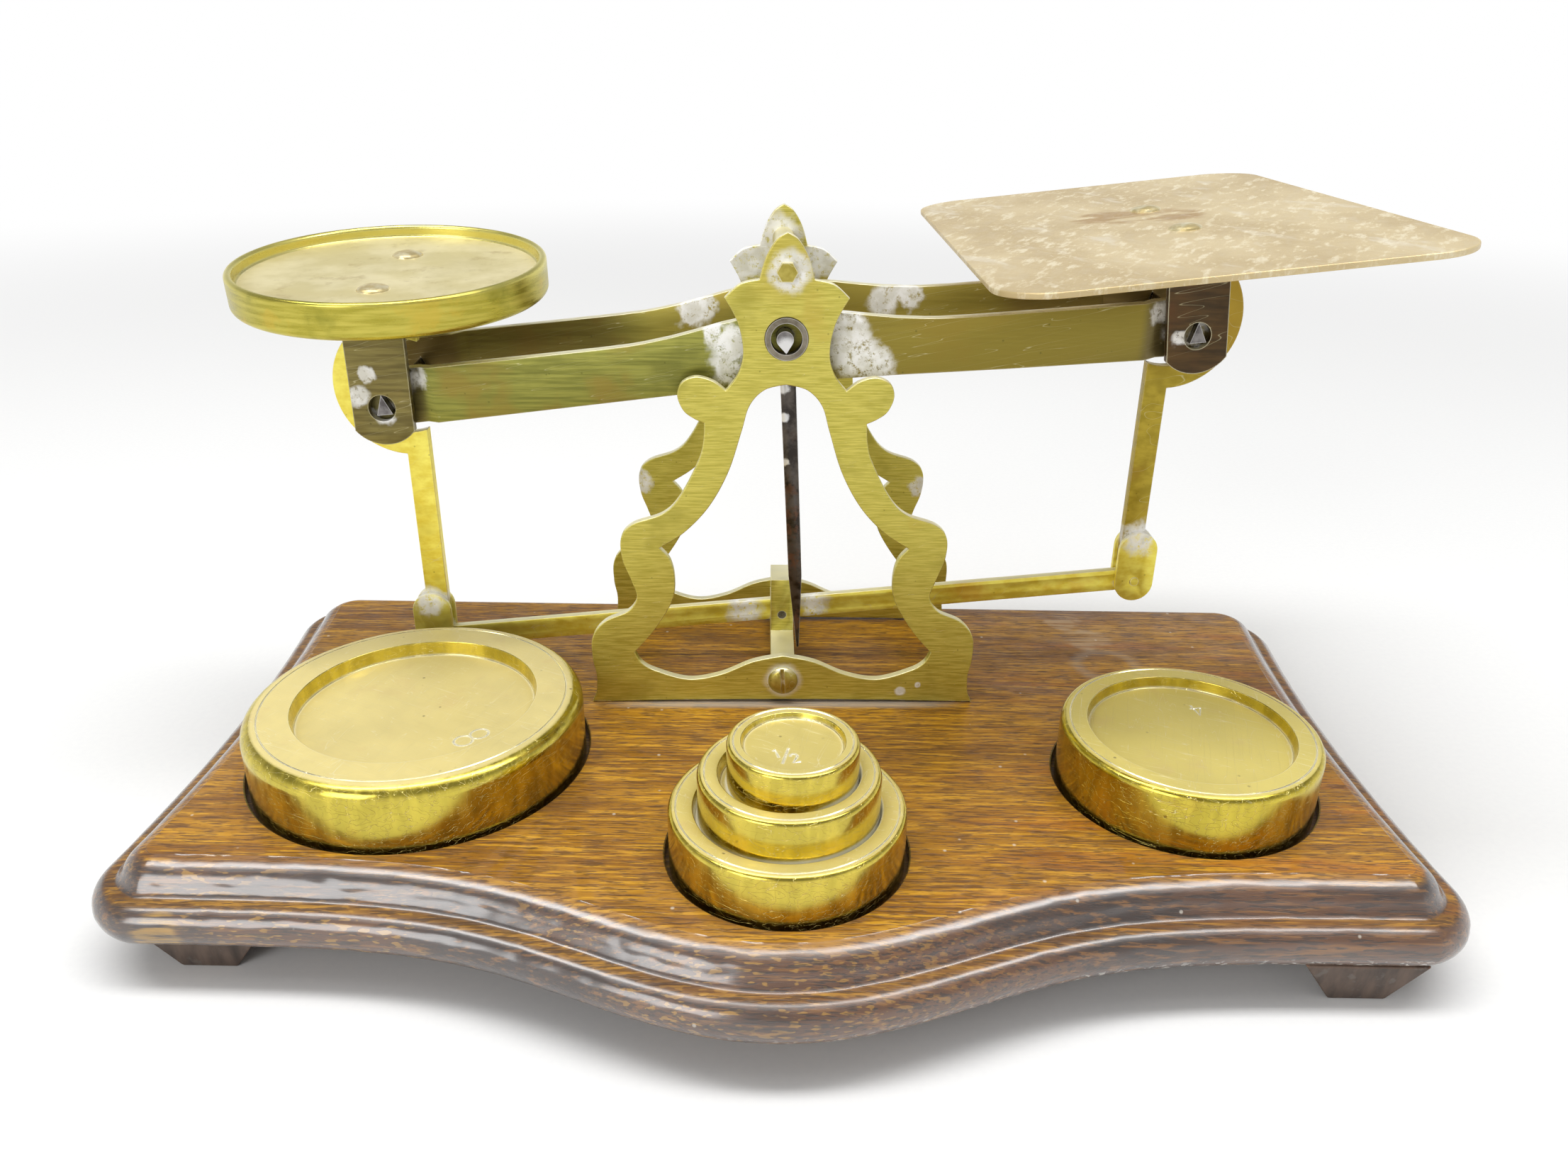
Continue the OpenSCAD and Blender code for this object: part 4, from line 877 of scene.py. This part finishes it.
# %% Break the edges of the model's parts
def break_edges(node, width=0.12, limit=35):
    part = parts[node]
    weld = part.modifiers.new("join_corners", "WELD")
    weld.merge_threshold = 0.001 * MM
    flat = part.modifiers.new("join_flats", "DECIMATE")
    flat.decimate_type, flat.angle_limit = "DISSOLVE", radians(0.6)
    bevel = part.modifiers.new("broken_edge", "BEVEL")
    bevel.width, bevel.segments, bevel.limit_method = width * MM, 2, "ANGLE"
    bevel.angle_limit, bevel.harden_normals = radians(limit), True
    part.data.polygons.foreach_set("use_smooth", [True] * len(part.data.polygons))


def finish_part(node, finish):
    part = parts[node]
    part.data.materials.clear()
    part.data.materials.append(finish)


straight_parts = ["front_beam_bar", "rear_beam_bar", "left_bracket", "right_bracket", "left_leg", "right_leg",
                  "left_fork", "right_fork", "lower_link", "cross_bar", "pointer", "feet", "frame_screws"]
for node in straight_parts:
    break_edges(node, 0.3 if node == "feet" else 0.12)
print("edges broken on", len(straight_parts), "parts")

# %% [markdown]
# The beam's bars are strip brass, greener on the left half and browner on the right, with
# thick dried polish beside the frame, where no cloth comes. Their ends beside the ears, and
# the rear bar's ends under the dish and the letter plate, are darkened as painted shade. The
# right leg and the right bracket, under the letter plate, get darker copies of their brass as
# painted shade. Bars and legs share the same network as the frame, with their own colours,
# and Object coordinates say which end of a bar a point belongs to.

# %% Finishes of the beam, legs, link and brackets
BAR_Y, REAR_BAR_Y = 6.55, 32.55
bar_polish = [
    ((-8.6, BAR_Y, 81.5), 4.2, 2.0), ((-9.4, BAR_Y, 77.5), 3.6, 2.2), ((-11.5, BAR_Y, 84), 2.6, 2.4),
    ((9.6, BAR_Y, 84.8), 4.2, 2.0), ((10.6, BAR_Y, 80.6), 5.2, 2.2), ((14.2, BAR_Y, 78.2), 4.0, 1.8),
    ((18, REAR_BAR_Y, 83.4), 3.6, 1.4), ((22, REAR_BAR_Y, 84.6), 3.4, 2.8), ((-60, BAR_Y, 75.5), 2.8, 2.0),
    ((-16, REAR_BAR_Y, 82), 4.4, 3.4), ((60, BAR_Y, 87), 2.6, 1.6), ((64, REAR_BAR_Y, 92), 5.0, 2.4),
]


def right_half(brass):
    return brass.where("X", -8, 14)


def painted_shade_by_ears(brass):
    """1 on the outer ends of both bars, where they step out to the ears: painted shade darkens them."""
    return brass.most(brass.where("X", -57.5, -59.5), brass.where("X", 56, 58))


def rear_middle(brass):
    return brass.both(brass.where("Y", 28, 30), brass.where("X", -34, -20), brass.where("X", 34, 20))


# Painted shade: the rear bar is darkened where the dish and the letter plate hang over it.
def painted_shade_under_dish_and_plate(brass):
    return brass.both(brass.where("Y", 28, 30), brass.most(brass.where("X", -22, -34), brass.where("X", 34, 44)))


# Painted shade: the bar ends beside the ears and the rear bar under the dish and plate are darkened
bar_brass = brushed_brass(
    "bar_brass", (0.185, 0.185, 0.032), (0.33, 0.32, 0.065), (0.30, 0.20, 0.035), bar_polish, (110, 110, 2600), 0.52,
    metal=0.7, extra=[(right_half, (0.26, 0.19, 0.026), 0.8), (painted_shade_by_ears, (0.13, 0.10, 0.045), 0.75),
                      (rear_middle, (0.42, 0.33, 0.06), 0.7),
                      (painted_shade_under_dish_and_plate, (0.11, 0.065, 0.012), 0.7)])
link_polish = [((-65.5, MID_Y, 30), 4.0, 2.4), ((65.5, MID_Y, 43), 4.4, 2.4), ((66.5, MID_Y, 37), 1.4, 0.8),
               ((6, MID_Y, 29.5), 3.6, 2.0), ((-7, MID_Y, 28), 4.0, 2.0), ((0, MID_Y - 1, 25), 3.2, 1.4),
               ((0, MID_Y, 36), 2.6, 1.4)]


def lower_left(brass):
    return brass.both(brass.where("X", -40, -56), brass.where("Z", 34, 28))


leg_brass = brushed_brass("leg_brass", (0.84, 0.68, 0.075), (1.0, 0.90, 0.17), (0.78, 0.46, 0.05), link_polish,
                          (320, 320, 620), 0.56, metal=0.55, extra=[(lower_left, (0.46, 0.42, 0.09), 0.7)])
hook_gold = (lambda brass: brass.where("Z", 72, 80), (0.42, 0.27, 0.03), 0.8)
# Painted shade: the right leg, under the letter plate, gets a darker copy of the leg brass.
right_leg_painted_shade_brass = brushed_brass("right_leg_painted_shade_brass", (0.32, 0.235, 0.018), (0.48, 0.36, 0.040), (0.30, 0.17, 0.02),
                                link_polish, (320, 320, 620), 0.56, metal=0.7, extra=[hook_gold])


def hole_rim(x, z):
    return [((x - 3.4, BAR_Y, z + 0.3), 2.0, 1.2), ((x + 0.5, BAR_Y, z - 3.2), 1.8, 1.2),
            ((x - 1.5, BAR_Y, z + 4), 1.6, 1.4)]


left_bracket_brass = brushed_brass("left_bracket_brass", (0.135, 0.105, 0.032), (0.25, 0.205, 0.065),
                                   (0.26, 0.15, 0.03), hole_rim(-65.2, 72.6), (110, 110, 1500), 0.55, metal=0.75)
# Painted shade: the right bracket, under the letter plate, gets a much darker copy of the bracket brass.
right_bracket_painted_shade_brass = brushed_brass("right_bracket_painted_shade_brass", (0.045, 0.026, 0.008), (0.105, 0.058, 0.018),
                                    (0.11, 0.045, 0.014),
                                    [((62.6, BAR_Y, 83), 1.6, 1.2)], (110, 110, 1100), 0.5, metal=0.6)
for finish, nodes in (
        (bar_brass, ("front_beam_bar", "rear_beam_bar", "pointer_rivet")), (right_leg_painted_shade_brass, ("right_leg",)),
        (leg_brass, ("left_leg", "left_fork", "right_fork", "left_fork_pin", "right_fork_pin", "lower_link")),
        (sheet_brass, ("cross_bar",)),
        (left_bracket_brass, ("left_bracket",)), (right_bracket_painted_shade_brass, ("right_bracket",)),
        (screw_brass, ("top_stretcher", "frame_screws"))):
    for node in nodes:
        finish_part(node, finish)
print("bars, legs and brackets finished")

# %% [markdown]
# The dish was turned and polished. Its floor has gone dull and tan, and its side is olive
# and mottled. A band of pale gold along the top of the side is a painted highlight, and its
# edges are lightened, partly as rubbing and partly as painted highlight. A thin white line of
# dried polish runs round the floor.

# %% Finish of the dish
dish = Finish("dish_brass")
from_middle = dish.add("ShaderNodeVectorMath", {0: dish.place, 1: (-0.06515, 0.0202, 0.0901)}, operation="DISTANCE")
inside = dish.step(from_middle.outputs["Value"], 0.0244, 0.0238)
dull = dish.both(dish.upward(0.90, 0.985), inside)
blotches = dish.cloud(95, 4.0, 0.6)
turning = dish.cloud((120, 120, 1500), 4.0)
dish.colour = dish.mix(dish.step(turning, 0.32, 0.7), (0.40, 0.35, 0.045), (0.60, 0.52, 0.10))
dish.layer(dish.step(blotches, 0.52, 0.68), (0.26, 0.25, 0.035), 0.75)
dish.layer(dish.step(blotches, 0.44, 0.36), (0.62, 0.44, 0.06), 0.5)
# Painted highlight: a pale gold band along the top of the side.
dish.layer(dish.where("Z", 89.6, 91.6), (0.78, 0.70, 0.20), 0.75)
# Edges lightened: partly rubbing, partly painted highlight.
dish.layer(dish.edges(0.5), (0.95, 0.90, 0.60), 0.7)
outside = dish.colour
dish.colour = dish.mix(dish.step(blotches, 0.35, 0.65), (0.62, 0.54, 0.27), (0.76, 0.68, 0.41))
dish.layer(dish.step(dish.cloud(230, 4.0, 0.7), 0.55, 0.72), (0.44, 0.34, 0.14), 0.5)
dish.colour = dish.mix(dull, outside, dish.colour)
white_line = dish.both(dish.corners(0.9, 0.45, 0.85), inside)
dish.layer(white_line, (0.92, 0.91, 0.86), 0.85)
dish_rough = dish.calc("ADD", dish.step(turning, 0.3, 0.7, 0.24, 0.34), dish.calc("MULTIPLY", dull, 0.16))
dish_metal = dish.calc("SUBTRACT", dish.step(dull, 0.0, 1.0, 0.9, 0.42), white_line, clamp=True)
finish_part("dish", dish.surface(dish_rough, dish_metal, dish.calc("ADD", turning, dish.cloud(210, 3.0)), 0.025))

# %% [markdown]
# The letter plate is thin rolled sheet, cut with rounded corners and riveted to its
# bracket. It is cut like the frame plates, from a 2D curve, and then leaned into place. Its
# brass is dull, pinkish and scuffed, with brown stains beside the rivets.

# %% Cut and finish the letter plate
LETTER_W, LETTER_D, LETTER_T, LETTER_CORNER, LETTER_IN = 65, 94, 0.9, 9, 4.4
LETTER_LEAN = radians(6.3)
RIGHT_HOLE = Vector((65.442, MID_Y, 83.524))
BRACKET_H, RIVET_IN, RIVET_Y = 15.4, 1.5, 10.6
hx, hy, c = LETTER_W / 2, LETTER_D / 2, LETTER_CORNER
letter_outline = []
for cx, cy, first in ((hx - c, hy - c, 0), (c - hx, hy - c, 90), (c - hx, c - hy, 180), (hx - c, c - hy, 270)):
    letter_outline += [(cx - LETTER_IN + c * cos(radians(first + k * 6)), cy + c * sin(radians(first + k * 6)))
                       for k in range(16)]
rivet_holes = [[(p.x - RIVET_IN, p.y + side * RIVET_Y) for p in ring(1.04, 0, 24)] for side in (-1, 1)]
letter_mesh = sheet_cut("letter_plate_cut", letter_outline, rivet_holes, LETTER_T, 0.2)
letter_mesh.transform(Matrix.Translation(RIGHT_HOLE * MM) @ Matrix.Rotation(-LETTER_LEAN, 4, "Y")
                      @ Matrix.Translation(Vector((0, 0, BRACKET_H + LETTER_T / 2)) * MM))
smooth_by_angle(letter_mesh, 32)

sheet = Finish("letter_plate_brass")
slow = sheet.cloud((45, 30, 30), 4.0, 0.6)
scuffs = sheet.cloud((520, 190, 190), 5.0, 0.7, spin=0.5)
sheet.colour = sheet.mix(sheet.step(slow, 0.35, 0.65), (0.56, 0.43, 0.22), (0.70, 0.57, 0.33))
sheet.layer(sheet.step(scuffs, 0.50, 0.66), (0.88, 0.82, 0.64), 0.6)
sheet.layer(sheet.step(sheet.cloud((200, 60, 60), 4.0, 0.7, spin=-0.3), 0.55, 0.68), (0.82, 0.76, 0.62), 0.45)
runs = sheet.cloud((70, 200, 200), 3.0, 0.55)
stain = sheet.most(sheet.near((56, 27, 98.6), 9, 5, 160), sheet.near((64, 24, 99.5), 7, 4, 160),
                   sheet.near((86, 72, 102), 6, 3, 160))
sheet.layer(sheet.both(stain, sheet.step(runs, 0.40, 0.52)), (0.36, 0.20, 0.055), 0.7)
sheet.layer(sheet.scratches((40, 500, 500), 0.006, 0.9), (0.90, 0.84, 0.70), 0.3)
sheet.layer(sheet.edges(0.35), (0.88, 0.72, 0.30), 0.85)
sheet_rough = sheet.step(scuffs, 0.3, 0.7, 0.36, 0.55)
dull_sheet = sheet.surface(sheet_rough, 0.45, sheet.calc("ADD", slow, sheet.calc("MULTIPLY", scuffs, 0.15)), 0.10)
letter_piece = dress("letter_plate_cut", letter_mesh, dull_sheet, "letter_hanger", "plate_brass", "letter_plate")
keep_flats_flat(letter_piece)
for corner, at in zip(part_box("letter_plate"), (0, 6)):
    print("letter plate corner", [round(v / MM, 2) for v in corner],
          [round(v / MM, 2) for v in letter_piece.bound_box[at]])

rivet = Finish("rubbed_rivets")
rivet.colour = rivet.mix(rivet.step(rivet.cloud(600, 3.0), 0.4, 0.7), (0.62, 0.50, 0.24), (0.84, 0.76, 0.50))
rivet_finish = rivet.surface(rivet.step(rivet.cloud(900), 0.3, 0.7, 0.28, 0.42), 0.7, rivet.cloud(1200), 0.03)
for node in ("left_rivets", "right_rivets"):
    finish_part(node, rivet_finish)
print("dish, plate and rivets finished")

# %% [markdown]
# Knives, pointer and pins are steel. The pointer is nearly black, with rust on its lower
# half and a few bright rubbed spots; the bearing rings are brownish grey; the knife edges are
# bright along the ridge that does the work. The knife ends that show in the rings are nearly
# white, partly rubbed steel and partly a painted highlight.

# %% Steel finishes
def steel(name, dark, light, rust_from, rough=(0.28, 0.5), rubs_and_highlights=()):
    metal = Finish(name)
    blotches = metal.cloud(420, 4.0, 0.6)
    metal.colour = metal.mix(metal.step(blotches, 0.35, 0.65), dark, light)
    rust = metal.both(metal.step(metal.cloud(300, 4.0, 0.7), rust_from, rust_from + 0.1), metal.where("Z", 72, 45))
    metal.layer(rust, (0.13, 0.055, 0.025), 0.85)
    metal.layer(metal.edges(0.22), (0.66, 0.64, 0.61), 0.75)
    bright = metal.most(*[metal.near(point, radius, ragged) for point, radius, ragged in rubs_and_highlights],
                        metal.spots(140, 0.10))
    metal.layer(bright, (0.80, 0.79, 0.78), 0.85)
    rusty = metal.calc("SUBTRACT", 1.0, metal.calc("MULTIPLY", rust, 0.6))
    return metal.surface(metal.step(blotches, 0.3, 0.7, *rough), rusty, metal.cloud(800, 4.0), 0.04)


pointer_steel = steel("pointer_steel", (0.040, 0.034, 0.030), (0.115, 0.10, 0.088), 0.52,
                      rubs_and_highlights=[((0, 8.45, 69), 1.0, 0.6), ((0, 8.45, 61.2), 0.9, 0.6), ((-0.2, 8.45, 74), 1.2, 0.8)])
# Painted highlight: the knife ends that show in the rings are near white, partly as rubbed steel.
knife_steel = steel("knife_steel", (0.10, 0.09, 0.088), (0.25, 0.235, 0.225), 0.60, (0.22, 0.4),
                    rubs_and_highlights=[((0, 3, 81), 3.0, 0.4), ((0, 38, 81), 3.0, 0.4)])
grey_steel = steel("ring_steel", (0.150, 0.128, 0.095), (0.27, 0.24, 0.185), 0.62, (0.32, 0.46))
for node, finish in (("pointer", pointer_steel), ("centre_knife", knife_steel), ("left_knife", knife_steel),
                     ("right_knife", knife_steel), ("bearing_rings", grey_steel), ("post_pin", knife_steel),
                     ("base_screw", knife_steel), ("feet", foot_wood)):
    finish_part(node, finish)
print("steel finished")
